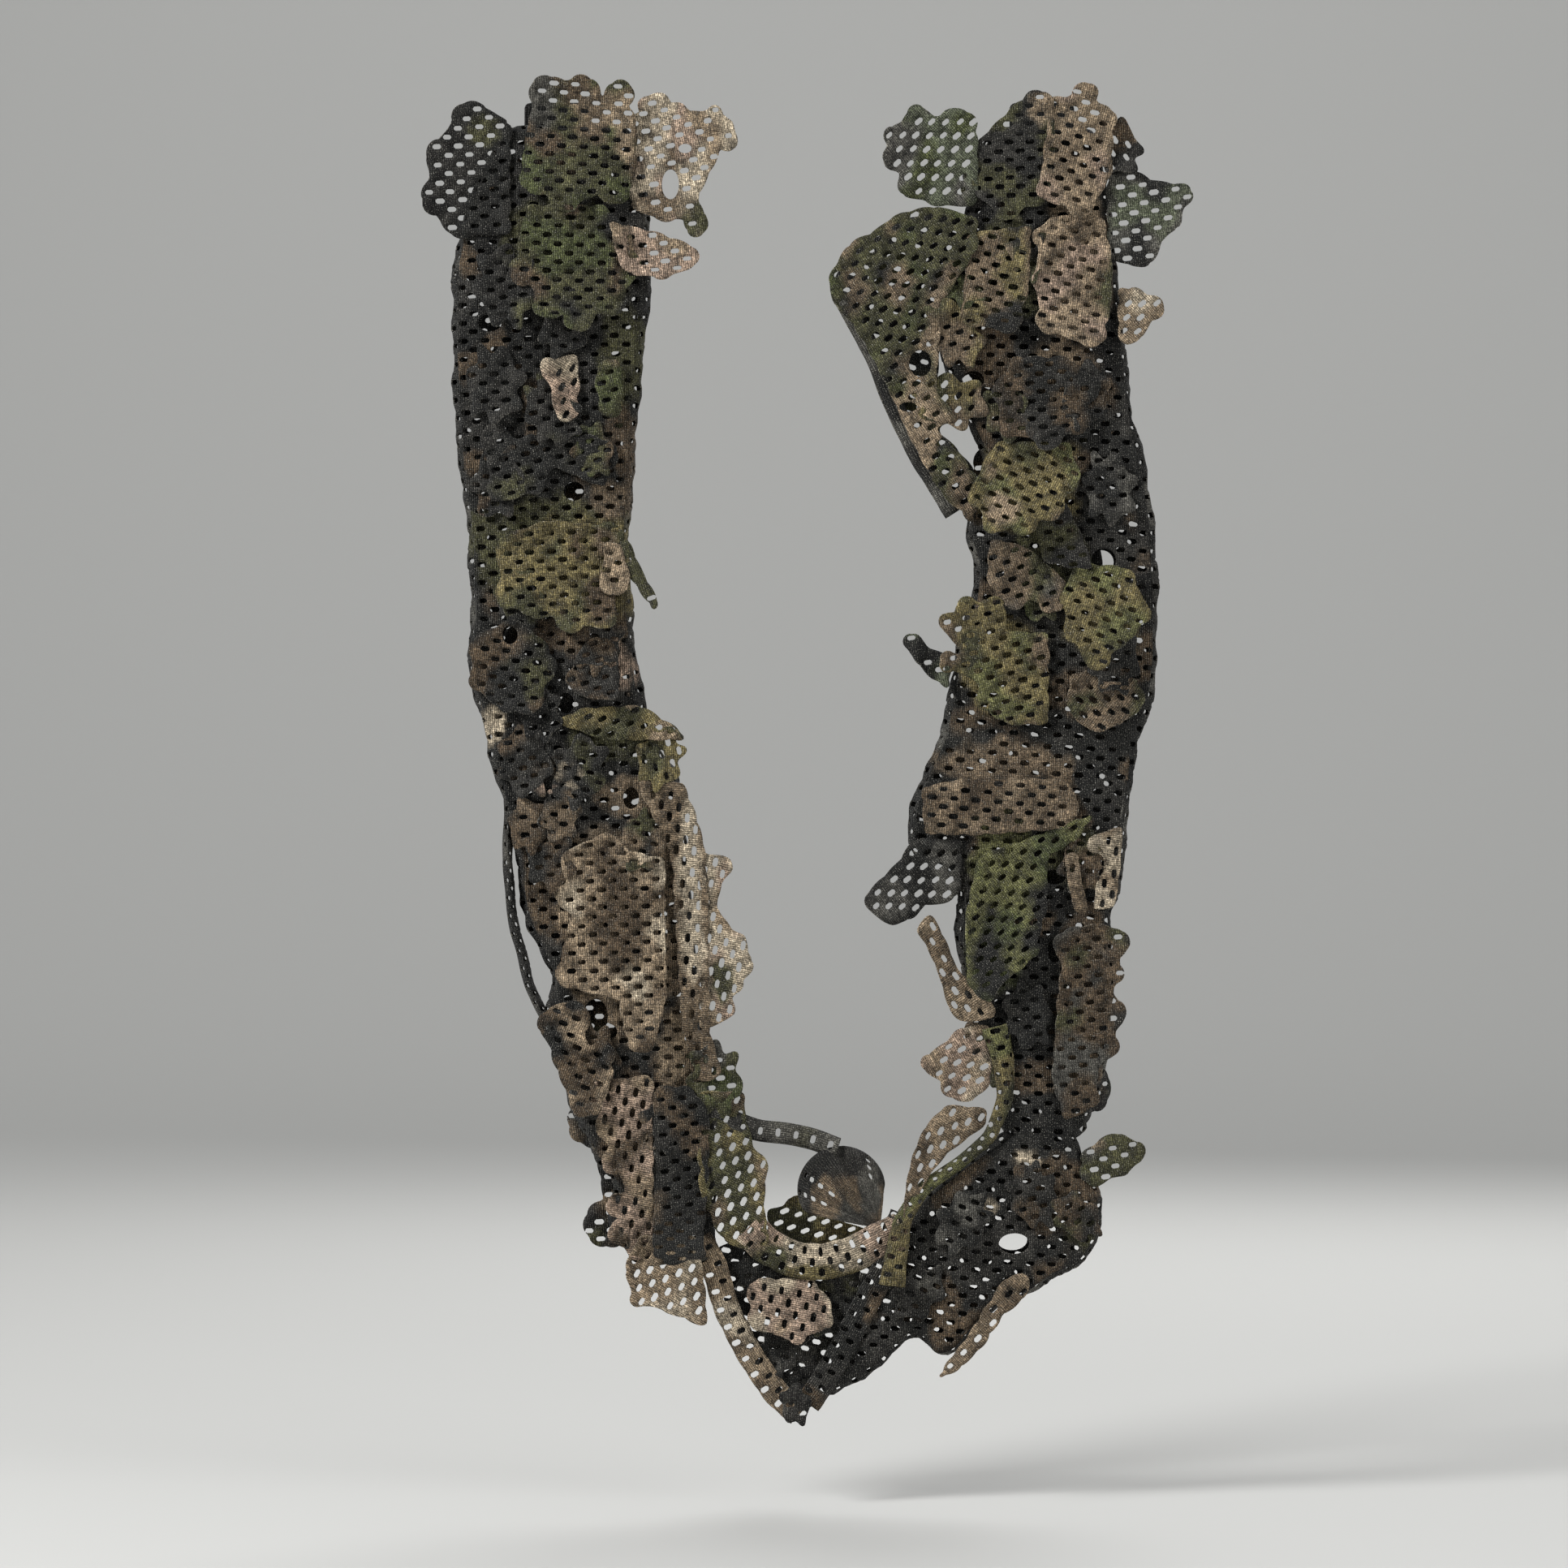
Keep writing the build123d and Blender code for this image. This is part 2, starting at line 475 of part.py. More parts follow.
def row_points(start, end):
    """Points a leaf step apart along a straight line."""
    run = ((end[0] - start[0]) ** 2 + (end[1] - start[1]) ** 2) ** 0.5
    count = int(run / LEAF_STEP)
    return [(start[0] + (end[0] - start[0]) * i / count, start[1] + (end[1] - start[1]) * i / count)
            for i in range(count + 1)]


def leaf_row(start, end):
    """A strip of cloth down the back of an arm, lobed at each side by turns."""
    middle = row_points(start, end)
    left = shifted(middle, -LEAF_HALF_WIDTH)
    right = shifted(middle, LEAF_HALF_WIDTH)
    lobes = [(x, z, LOBE_RADIUS) for x, z in left[::2] + right[1::2]]
    return cut(back(1), left + right[::-1], lobes=lobes)


sheet("upper_back_leaves", leaf_row((-92, 2), (-88, -190)), leaf_row((88, 2), (96, -190)))
sheet("lower_back_leaves", leaf_row((-76, -234), (-52, -384)), leaf_row((86, -234), (90, -334)))
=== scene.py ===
import json
import math
import random

import bpy
import numpy as np
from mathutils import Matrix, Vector, noise
from mathutils.geometry import delaunay_2d_cdt


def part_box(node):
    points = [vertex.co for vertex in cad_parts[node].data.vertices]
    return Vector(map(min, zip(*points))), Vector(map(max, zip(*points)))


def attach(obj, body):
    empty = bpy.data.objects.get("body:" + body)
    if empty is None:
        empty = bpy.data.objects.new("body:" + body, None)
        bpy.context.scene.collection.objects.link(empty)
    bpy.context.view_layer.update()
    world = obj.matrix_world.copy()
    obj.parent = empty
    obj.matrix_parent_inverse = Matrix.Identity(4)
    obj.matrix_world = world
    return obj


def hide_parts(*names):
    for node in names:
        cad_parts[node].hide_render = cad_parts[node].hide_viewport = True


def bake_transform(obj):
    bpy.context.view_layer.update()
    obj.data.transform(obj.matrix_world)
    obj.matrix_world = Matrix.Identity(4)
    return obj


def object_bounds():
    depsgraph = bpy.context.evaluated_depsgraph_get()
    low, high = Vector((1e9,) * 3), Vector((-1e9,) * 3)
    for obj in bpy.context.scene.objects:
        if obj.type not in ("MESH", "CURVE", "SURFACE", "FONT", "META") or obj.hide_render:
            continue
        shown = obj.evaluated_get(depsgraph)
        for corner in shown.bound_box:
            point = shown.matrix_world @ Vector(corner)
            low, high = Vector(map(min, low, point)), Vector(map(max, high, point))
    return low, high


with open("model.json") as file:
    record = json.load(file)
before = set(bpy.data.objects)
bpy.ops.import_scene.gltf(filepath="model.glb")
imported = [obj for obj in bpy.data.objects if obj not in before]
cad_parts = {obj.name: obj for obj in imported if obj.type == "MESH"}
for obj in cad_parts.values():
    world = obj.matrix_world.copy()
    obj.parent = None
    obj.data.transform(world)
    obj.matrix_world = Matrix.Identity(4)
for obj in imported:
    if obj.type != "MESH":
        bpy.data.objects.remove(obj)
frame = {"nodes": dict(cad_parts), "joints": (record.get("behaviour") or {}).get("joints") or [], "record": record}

cad_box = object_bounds()

MM = 0.001
THICK = 0.5              # thickness of the knit, in mm
CAD_THICK = 1.0          # thickness of a cloth in the CAD
HOLE_PITCH = 8.0         # along a row of punched holes
ROW_STEP = 3.3           # from one row to the next, which is offset by half a pitch
HOLE = [(1.72, 0.32), (1.08, 0.95), (-1.08, 0.95), (-1.72, 0.32), (-1.72, -0.32), (-1.08, -0.95),
        (1.08, -0.95), (1.72, -0.32)]
LOBE_PITCH = 8.6         # of the scallops along a leaf's edge
NET_Y = 6.5              # from the middle of an arm to the middle of its front or back net
REACH = 21.8             # no cloth comes further forward or back than this
SLOWING = 4              # the last part of that, where it is pressed together
LEAST_WIDTH = 10.1
AREA_SHARE = 0.32, 0.98  # of its width by length, the least and most that its area is declared as
FALLS_OUT = 12           # a scrap of cloth smaller than this, in square mm, is left out

# Colours of the print, as linear light
INK = {
    "black": (0.007, 0.007, 0.0065), "charcoal": (0.017, 0.017, 0.0155), "soot": (0.036, 0.034, 0.030),
    "grey": (0.11, 0.105, 0.09), "olive": (0.078, 0.076, 0.034), "moss": (0.084, 0.096, 0.036),
    "gold": (0.215, 0.175, 0.075), "lime": (0.160, 0.160, 0.062), "brown": (0.115, 0.080, 0.048),
    "bark": (0.205, 0.150, 0.095), "tan": (0.360, 0.270, 0.175), "pink": (0.440, 0.320, 0.235),
    "cream": (0.600, 0.500, 0.360), "sage": (0.120, 0.135, 0.085),
}
BODY = {node: body for body, nodes in frame["record"]["behaviour"]["bodies"].items() for node in nodes}
JOINT = {joint["child"]: joint for joint in frame["joints"]}


# ---- Flat cloth --------------------------------------------------------------------------------

def area_of(loop):
    """Signed area of a closed loop, positive when it runs anticlockwise."""
    x, z = loop[:, 0], loop[:, 1]
    return 0.5 * float(np.sum(x * np.roll(z, -1) - np.roll(x, -1) * z))


def outlines(node, side=-1):
    """(outline, openings, y) of each cloth in a CAD node, from its front or back face, in mm."""
    mesh = frame["nodes"][node].data
    number = {}
    spots = []
    same = []
    for vertex in mesh.vertices:
        key = tuple(round(c / MM, 2) for c in vertex.co)
        if key not in number:
            number[key] = len(spots)
            spots.append(key)
        same.append(number[key])
    edges = set()
    for face in mesh.polygons:
        if face.normal.y * side < 0.99:
            continue
        ring = [same[i] for i in face.vertices]
        for a, b in zip(ring, ring[1:] + ring[:1]):
            if (b, a) in edges:
                edges.discard((b, a))
            elif a != b:
                edges.add((a, b))
    follow = dict(sorted(edges))
    outer, inner = [], []
    while follow:
        at = min(follow)
        y = spots[at][1]
        loop = []
        while at in follow:
            loop.append((spots[at][0], spots[at][2]))
            at = follow.pop(at)
        loop = np.array(loop)
        if area_of(loop) * side < 0:
            outer.append((loop if side < 0 else loop[::-1], y))
        else:
            inner.append(loop)
    found = []
    for loop, y in outer:
        found.append((loop, [hole for hole in inner if inside(hole[:1], loop)[0]], y))
    return found


def inside(points, loop):
    """Which points lie inside a closed loop."""
    x, z = points[:, :1], points[:, 1:2]
    ax, az = loop[:, 0], loop[:, 1]
    bx, bz = np.roll(ax, -1), np.roll(az, -1)
    span = np.where(bz == az, 1e-9, bz - az)
    crossing = ((az > z) != (bz > z)) & (x < (bx - ax) * (z - az) / span + ax)
    return crossing.sum(1) % 2 == 1


def gap(points, line):
    """Distance from each point to the nearest point of a finely divided line."""
    best = []
    for part in np.array_split(points, len(points) // 4000 + 1):
        best.append(np.hypot(part[:, :1] - line[:, 0], part[:, 1:2] - line[:, 1]).min(1))
    return np.concatenate(best)


def turned(points, degrees):
    """Flat points turned anticlockwise."""
    c, s = math.cos(math.radians(degrees)), math.sin(math.radians(degrees))
    return points @ np.array([[c, s], [-s, c]])


def sides(tris):
    """The three sides of every triangle."""
    return np.vstack([tris[:, [0, 1]], tris[:, [1, 2]], tris[:, [2, 0]]])


def facing(tris, side):
    """Triangles turned to face out of the front or the back of the mask."""
    return tris if side == "front" else tris[:, ::-1]


def crossed(points, tris):
    """Cross product of two sides of each triangle: twice its area, or in space its normal."""
    corner = points[tris]
    return np.cross(corner[:, 1] - corner[:, 0], corner[:, 2] - corner[:, 0])


def refine(loop, step=1.6, soften=3, lobe=0.0, phase=0.0):
    """A closed loop divided finely, with its corners eased and scallops cut along it."""
    closed = np.vstack([loop, loop[:1]])
    run = np.r_[0, np.cumsum(np.hypot(*np.diff(closed, axis=0).T))]
    count = max(14, int(run[-1] / step))
    at = np.linspace(0, run[-1], count, endpoint=False)
    line = np.c_[np.interp(at, run, closed[:, 0]), np.interp(at, run, closed[:, 1])]
    for _ in range(soften):
        line = (np.roll(line, 1, 0) + 2 * line + np.roll(line, -1, 0)) / 4
    if lobe:
        along = np.roll(line, -1, 0) - np.roll(line, 1, 0)
        along /= np.maximum(np.hypot(along[:, 0], along[:, 1]), 1e-6)[:, None]
        out = np.c_[along[:, 1], -along[:, 0]]
        bumps = max(3, round(run[-1] / LOBE_PITCH))
        wave = np.abs(np.sin(np.pi * bumps * at / run[-1] + phase)) ** 0.7
        size = np.array([0.6 + 0.5 * noise.noise(Vector((p[0] / 17, p[1] / 17, phase))) for p in line])
        line = line + out * (lobe * size * (wave - 0.55))[:, None]
    return line


def punch(loop, angle, seed):
    """Holes in staggered rows all over a loop, as eight-sided loops."""
    rng = random.Random(seed)
    middle = loop.mean(0)
    reach = np.hypot(*(loop - middle).T).max() + HOLE_PITCH
    rows = int(reach / ROW_STEP) + 1
    columns = int(reach / HOLE_PITCH) + 1
    start = rng.random(), rng.random()
    spots = []
    for row in range(-rows, rows + 1):
        for column in range(-columns, columns + 1):
            u = (column + start[0] + 0.5 * (row % 2)) * HOLE_PITCH + rng.uniform(-0.25, 0.25)
            v = (row + start[1]) * ROW_STEP + rng.uniform(-0.12, 0.12)
            spots.append((u, v))
    spots = middle + turned(np.array(spots), angle)
    spots = spots[np.all((spots > loop.min(0)) & (spots < loop.max(0)), axis=1)]
    spots = spots[inside(spots, loop)]
    spots = spots[gap(spots, loop) > 1.5]
    shape = turned(np.array(HOLE), angle)
    return [spot + rng.uniform(0.86, 1.06) * shape for spot in spots]


def weave(loops, openings=(), angle=0.0, seed=1, punched=True, grid=None):
    """Flat points and triangles of a cloth: closed loops, less its openings and punched holes."""
    holes = list(openings)
    if punched:
        for loop in loops:
            for hole in punch(loop, angle, seed):
                if all(gap(hole, edge).min() > 0.5 and not inside(hole[:1], edge)[0] for edge in openings):
                    holes.append(hole)
    spots, faces = [], []
    for loop in loops + holes:
        faces.append(list(range(len(spots), len(spots) + len(loop))))
        spots += (loop if area_of(loop) >= 0 else loop[::-1]).tolist()
    for loop in loops if grid else []:
        low, high = loop.min(0), loop.max(0)
        xs, zs = np.meshgrid(np.arange(low[0], high[0], grid[0]), np.arange(low[1], high[1], grid[1]))
        extra = np.c_[xs.ravel(), zs.ravel()]
        extra = extra[inside(extra, loop)]
        spots += extra[gap(extra, loop) > min(grid) * 0.4].tolist()
    spots = [Vector(spot) for spot in spots]
    points, _, tris, _, _, owners = delaunay_2d_cdt(spots, [], faces, 0, 1e-4, True)
    points = np.array([tuple(p) for p in points])
    keep = np.array([t for t, owner in zip(tris, owners) if max(owner, default=0) < len(loops)])
    centre = points[keep].mean(1)
    keep = keep[np.any([inside(centre, loop) for loop in loops], axis=0)]
    # Every triangle takes the lowest number among its neighbours, until each loose scrap has its own
    root = np.arange(len(points))
    while True:
        low = root[keep].min(1)
        new = root.copy()
        for k in range(3):
            np.minimum.at(new, keep[:, k], low)
        new = new[new]
        if (new == root).all():
            break
        root = new
    twice = crossed(points, keep)
    scrap = root[keep[:, 0]]
    large = np.bincount(scrap, np.abs(twice) / 2)[scrap] >= FALLS_OUT
    keep, twice = keep[large], twice[large]
    keep[twice < 0] = keep[twice < 0][:, ::-1]
    used, renumbered = np.unique(keep, return_inverse=True)
    return points[used], renumbered.reshape(keep.shape), float(np.abs(twice).sum() / 2)


# ---- The lie of the cloth ------------------------------------------------------------------------

def crumple(points, scale_x, scale_z, seed):
    """Smooth folds, from -1 to 1, longer one way than the other."""
    return np.array([noise.noise(Vector((x / scale_x, z / scale_z, seed))) for x, z in points]) * 1.6


NETS = {
    "front": ["left_upper_front_net", "left_lower_front_net", "right_upper_front_net",
              "right_lower_front_net", "chin_right_front_net"],
    "back": ["left_upper_back_net", "left_lower_back_net", "right_upper_back_net",
             "right_lower_back_net", "chin_right_back_net", "chin_point_net"],
}
HELD_ROUND = 11          # how far round a lifting leaf's stitches the net lies low
CELL = 2.0
low_corner, high_corner = cad_box
GRID_X = np.arange(low_corner.x / MM - 10, high_corner.x / MM + 10, CELL)
GRID_Z = np.arange(low_corner.z / MM - 10, high_corner.z / MM + 10, CELL)
waist_z = (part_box("left_upper_front_net")[0].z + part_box("left_lower_front_net")[1].z) / 2 / MM


def waist_bridge(arm):
    """A loop of cloth that joins an arm's net above the waist to the one below it."""
    top = outlines(f"{arm}_upper_front_net")[0][0]
    bottom = outlines(f"{arm}_lower_front_net")[0][0]
    row = top[top[:, 1] < top[:, 1].min() + 0.5]
    under = bottom[bottom[:, 1] > bottom[:, 1].max() - 0.5]
    lap = np.array([0, 0.8])
    corners = [under[under[:, 0].argmin()] - lap, under[under[:, 0].argmax()] - lap,
               row[row[:, 0].argmax()] + lap, row[row[:, 0].argmin()] + lap]
    return refine(np.array(corners), step=1.3, soften=0)


BRIDGE = {arm: waist_bridge(arm) for arm in ("left", "right")}


def hinge_of(node):
    """For a leaf that lifts: whether its hinge stands upright, and where it is, in mm."""
    joint = JOINT[BODY[node]]
    upright = bool(joint["axis"][2])
    return upright, (joint["pos_m"][0] if upright else joint["pos_m"][2]) / MM


def make_relief(side):
    """How far the cloth of one side stands out from its flat net, on a grid over the mask."""
    xs, zs = np.meshgrid(GRID_X, GRID_Z)
    spots = np.c_[xs.ravel(), zs.ravel()]
    loops = [outlines(node)[0][0] for node in NETS[side]] + list(BRIDGE.values())
    covered = np.zeros(len(spots), bool)
    for loop in loops:
        covered |= inside(spots, loop)
    covered = covered.reshape(xs.shape)
    for _ in range(2):                   # close the seams between neighbouring nets
        wide = covered.copy()
        wide[1:-1, 1:-1] |= covered[:-2, 1:-1] & covered[2:, 1:-1]
        covered = wide
    edge = covered & ~(np.roll(covered, 1, 0) & np.roll(covered, -1, 0) & np.roll(covered, 1, 1)
                       & np.roll(covered, -1, 1))
    border = np.c_[xs[edge], zs[edge]]
    away = np.where(covered.ravel(), gap(spots, border), 0)
    seed = 3.0 if side == "front" else 9.0
    fold = crumple(spots, 13, 48, seed)
    broad = crumple(spots, 34, 70, seed + 5)
    small = crumple(spots, 7.5, 10, seed + 9)
    crown = 4.4 * (1 - np.exp(-away / 9.0))
    near_waist = np.exp(-((spots[:, 1] - waist_z) / 16) ** 2)
    gathers = (np.sin(spots[:, 0] * 2 * np.pi / 8.5 + 1.6 * broad) + 0.4) * 2.2 * near_waist
    height = crown * (1 - 0.45 * near_waist) * (0.8 + 0.35 * broad) + 2.5 * fold + 0.8 * small + gathers
    height = np.clip(height + 0.6, 0, 8.0) * (1 - np.exp(-(away + 1) / 5.0))
    for node, body in BODY.items():      # the stitches of a lifting leaf hold the cloth down
        if side == "back" or not body.endswith("_flap"):
            continue
        upright, at = hinge_of(node)
        low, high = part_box(node)
        if upright:
            across, along, ends = spots[:, 0] - at, spots[:, 1], (low.z / MM, high.z / MM)
        else:
            across, along, ends = spots[:, 1] - at, spots[:, 0], (low.x / MM, high.x / MM)
        away = np.hypot(across, along - np.clip(along, *ends))
        height *= 1 - 0.85 * np.exp(-(away / HELD_ROUND) ** 2)
    height = height.reshape(xs.shape)
    for _ in range(2):
        height[1:-1, 1:-1] = (height[1:-1, 1:-1] * 2 + height[:-2, 1:-1] + height[2:, 1:-1]
                              + height[1:-1, :-2] + height[1:-1, 2:]) / 6
    return height


RELIEF = {side: make_relief(side) for side in NETS}


def relief(points, side="front"):
    """Height of the cloth at points, in mm."""
    field = RELIEF[side]
    u = np.clip((points[:, 0] - GRID_X[0]) / CELL, 0, len(GRID_X) - 1.001)
    v = np.clip((points[:, 1] - GRID_Z[0]) / CELL, 0, len(GRID_Z) - 1.001)
    i, j = u.astype(int), v.astype(int)
    fu, fv = u - i, v - j
    return (field[j, i] * (1 - fu) * (1 - fv) + field[j, i + 1] * fu * (1 - fv)
            + field[j + 1, i] * (1 - fu) * fv + field[j + 1, i + 1] * fu * fv)


# ---- Print ---------------------------------------------------------------------------------------

def ease(x):
    x = np.clip(x, 0, 1)
    return x * x * (3 - 2 * x)


def printed(points, inks, spots=(), seed=0.0, patch=15.0):
    """Colour of the print at flat points: a ground, patches of other inks, then placed spots."""
    ground, *others = inks.split()
    colour = np.tile(np.array(INK[ground]), (len(points), 1))
    for k, ink in enumerate(others):
        wave = crumple(points, patch, patch * 1.25, seed + 13.7 * (k + 1))
        weight = ease((wave - 0.12 - 0.16 * k) * 3.6)[:, None]
        colour = colour * (1 - weight) + np.array(INK[ink]) * weight
    if len(spots):
        ragged = crumple(points, 6.5, 8.5, seed + 71)
        for x, z, rx, rz, ink in spots:
            away = np.hypot((points[:, 0] - x) / rx, (points[:, 1] - z) / rz)
            weight = ease((1.1 - away + 0.3 * ragged) * 3.2)[:, None]
            colour = colour * (1 - weight) + np.array(INK[ink]) * weight
    return colour


# ---- Cloth objects -------------------------------------------------------------------------------

def solid_cloth(points, tris, thick):
    """A cloth's surface given its thickness: points, faces, and how many of the faces are smooth."""
    face_normal = crossed(points, tris)
    normal = np.zeros_like(points)
    for k in range(3):
        np.add.at(normal, tris[:, k], face_normal)
    normal /= np.maximum(np.linalg.norm(normal, axis=1), 1e-9)[:, None]
    count = len(points)
    both = np.vstack([points + normal * thick / 2, points - normal * thick / 2])
    edge = sides(tris).astype(np.int64)
    rim = edge[~np.isin(edge[:, 0] * count + edge[:, 1], edge[:, 1] * count + edge[:, 0])]
    faces = [tuple(t) for t in tris.tolist()]
    faces += [tuple(t) for t in (tris[:, ::-1] + count).tolist()]
    smooth = len(faces)
    faces += [(b, a, a + count, b + count) for a, b in rim.tolist()]
    return both, faces, smooth


def linked(name, mesh, material):
    """An object of a mesh, in the scene."""
    mesh.materials.append(material)
    mesh.update()
    made = bpy.data.objects.new(name, mesh)
    bpy.context.scene.collection.objects.link(made)
    return made


def make_object(name, parts, material, thick=THICK):
    """One object of several cloths, each (points in mm, triangles, flat points, colours)."""
    verts, faces, flat, ink, smooth = [], [], [], [], []
    count = 0
    for points, tris, uv, colour in parts:
        both, ring, wide = solid_cloth(points, tris, thick)
        faces += [tuple(i + count for i in face) for face in ring]
        smooth += [i < wide for i in range(len(ring))]
        verts.append(both)
        flat += [uv, uv]
        ink += [colour, colour]
        count += len(both)
    mesh = bpy.data.meshes.new(name)
    mesh.from_pydata((np.vstack(verts) * MM).tolist(), [], faces)
    mesh.polygons.foreach_set("use_smooth", smooth)
    layer = mesh.attributes.new("flat", "FLOAT_VECTOR", "POINT")
    layer.data.foreach_set("vector", np.c_[np.vstack(flat), np.zeros(count)].ravel().astype(np.float32))
    layer = mesh.attributes.new("print", "FLOAT_COLOR", "POINT")
    layer.data.foreach_set("color", np.c_[np.vstack(ink), np.ones(count)].ravel().astype(np.float32))
    layer = mesh.attributes.new("rim", "FLOAT", "FACE")
    layer.data.foreach_set("value", [0.0 if s else 1.0 for s in smooth])
    return linked(name, mesh, material)


def flat_size(clouds):
    """Width and length of the strip that flat cloths are cut from: their least rectangles, end to end."""
    width, length = 0, 0
    for points in clouds:
        boxes = [sorted(np.ptp(turned(points, -degrees), axis=0)) for degrees in range(0, 180, 5)]
        best = min(boxes, key=np.prod)
        width = max(width, best[0])
        length += best[1]
    return width, length


def declare(clouds, area):
    """Works out a sheet's flat size, from the flat cloths it is made of, in mm, and keeps it nowhere.
    A cloth narrower than LEAST_WIDTH is declared that wide, and a length outside AREA_SHARE is moved to fit
    it."""
    width, length = flat_size(clouds)
    width = max(width, LEAST_WIDTH)
    least, most = AREA_SHARE
    length = min(max(length, area / (most * width)), area / (least * width))


def stand_in(made, nodes, body=None):
    """Puts a piece in the place of its CAD nodes, and on a body if it is given one."""
    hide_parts(*nodes)
    if body:
        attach(made, body)


# ---- Materials -----------------------------------------------------------------------------------

def new_material(name):
    """A material, its shader, and a function that adds nodes joined to what they are given."""
    material = bpy.data.materials.new(name)
    material.use_nodes = True
    tree = material.node_tree

    def add(kind, inputs=(), **settings):
        node = tree.nodes.new(kind)
        for key, value in settings.items():
            setattr(node, key, value)
        join(node, inputs)
        return node

    def join(node, inputs):
        for key, value in dict(inputs).items():
            if isinstance(value, bpy.types.NodeSocket):
                tree.links.new(value, node.inputs[key])
            else:
                node.inputs[key].default_value = value

    return material, tree.nodes["Principled BSDF"], add, join


def ramp(add, value, *stops):
    """A colour ramp whose stops are (place, grey level or colour)."""
    node = add("ShaderNodeValToRGB", {0: value})
    for _ in stops[2:]:
        node.color_ramp.elements.new(0.5)
    for element, (at, level) in zip(node.color_ramp.elements, stops):
        element.position = at
        element.color = (*level, 1) if isinstance(level, tuple) else (level, level, level, 1)
    return node.outputs[0]


def cloth_material(name, rib=0.78, glint_strength=0.75):
    """Napped knit: ribs, rows of stitches, fibre flecks and worn light edges over the print, with painted shade in
    the knit's grooves and painted glints on its ribs.
    """
    material, shader, add, join = new_material(name)
    flat = add("ShaderNodeAttribute", attribute_name="flat").outputs["Vector"]
    ink = add("ShaderNodeAttribute", attribute_name="print").outputs["Color"]
    rim = add("ShaderNodeAttribute", attribute_name="rim").outputs["Fac"]

    def maths(kind, a, b=0.0, c=0.0):
        return add("ShaderNodeMath", {0: a, 1: b, 2: c}, operation=kind).outputs[0]

    def coloured(kind, factor, a, b):
        node = add("ShaderNodeMix", data_type="RGBA", blend_type=kind)
        join(node, {0: factor, 6: a, 7: b})
        return node.outputs[2]

    # The knit runs along the arm: ribs down it, with rows of stitches across
    wobble = add("ShaderNodeTexNoise", {"Vector": flat, "Scale": 0.35, "Detail": 1.0})
    bent = add("ShaderNodeVectorMath", {0: wobble.outputs["Color"], 1: (0.9, 0.9, 0)}, operation="MULTIPLY")
    laid = add("ShaderNodeVectorMath", {0: flat, 1: bent.outputs[0]}, operation="ADD").outputs[0]
    split = add("ShaderNodeSeparateXYZ", {0: laid})
    ribs = maths("SINE", maths("MULTIPLY", split.outputs[0], 2 * math.pi / rib))
    rows = maths("SINE", maths("MULTIPLY", split.outputs[1], 2 * math.pi / (rib * 0.85)))
    ribs = maths("MULTIPLY_ADD", ribs, 0.5, 0.5)
    rows = maths("MULTIPLY_ADD", rows, 0.5, 0.5)
    knit = maths("MULTIPLY_ADD", rows, 0.35, maths("MULTIPLY", ribs, 0.65))
    fibre = add("ShaderNodeTexNoise", {"Vector": flat, "Scale": 1.15, "Detail": 4.0, "Roughness": 0.7})
    fibre = fibre.outputs["Fac"]
    streaky = add("ShaderNodeMapping", {"Vector": flat, "Scale": (1.1, 0.22, 1)}).outputs[0]
    streak = add("ShaderNodeTexNoise", {"Vector": streaky, "Scale": 0.55, "Detail": 3.0, "Roughness": 0.65})
    blotch = add("ShaderNodeTexNoise", {"Vector": flat, "Scale": 0.16, "Detail": 5.0, "Roughness": 0.62,
                                        "Distortion": 0.6})
    tone = ramp(add, blotch.outputs["Fac"], (0.30, 0.30), (0.47, 0.80), (0.56, 1.08), (0.70, 1.45))
    lines = ramp(add, streak.outputs["Fac"], (0.32, 0.45), (0.52, 1.0), (0.72, 1.5))
    specks = ramp(add, fibre, (0.34, 0.18), (0.52, 0.85), (0.70, 2.6))
    # Painted shade: the knit darkens the print in its grooves and lightens it on its crowns
    shade = ramp(add, knit, (0.0, 0.26), (0.85, 1.4))
    colour = ink
    for strength, layer in ((1.0, tone), (0.85, lines), (0.9, specks), (0.9, shade)):
        colour = coloured("MULTIPLY", strength, colour, layer)
    # Painted highlight: glints all over, brightest on the crowns of the ribs; then light fibre ends closer
    # together along the cut edges
    glint_noise = add("ShaderNodeTexNoise", {"Vector": flat, "Scale": 2.3, "Detail": 2.0})
    glint_level = ramp(add, glint_noise.outputs["Fac"], (0.57, 0.0), (0.68, glint_strength))
    glint = maths("MULTIPLY", glint_level, ramp(add, knit, (0.35, 0.15), (0.85, 1.0)))
    colour = coloured("MIX", glint, colour, (0.46, 0.44, 0.38, 1))
    worn = maths("MULTIPLY", rim, ramp(add, fibre, (0.45, 0.0), (0.65, 0.5)))
    colour = coloured("MIX", worn, colour, (0.30, 0.28, 0.23, 1))
    height = maths("MULTIPLY_ADD", fibre, 0.9, knit)
    bump = add("ShaderNodeBump", {"Height": height, "Strength": 1.0, "Distance": 0.0006})
    rough = add("ShaderNodeMapRange", {"Value": fibre, "To Min": 0.72, "To Max": 0.98})
    join(shader, {"Base Color": colour, "Normal": bump.outputs[0], "Roughness": rough.outputs[0],
                  "Sheen Weight": 0.04, "Sheen Roughness": 0.6, "Specular IOR Level": 0.14})
    return material


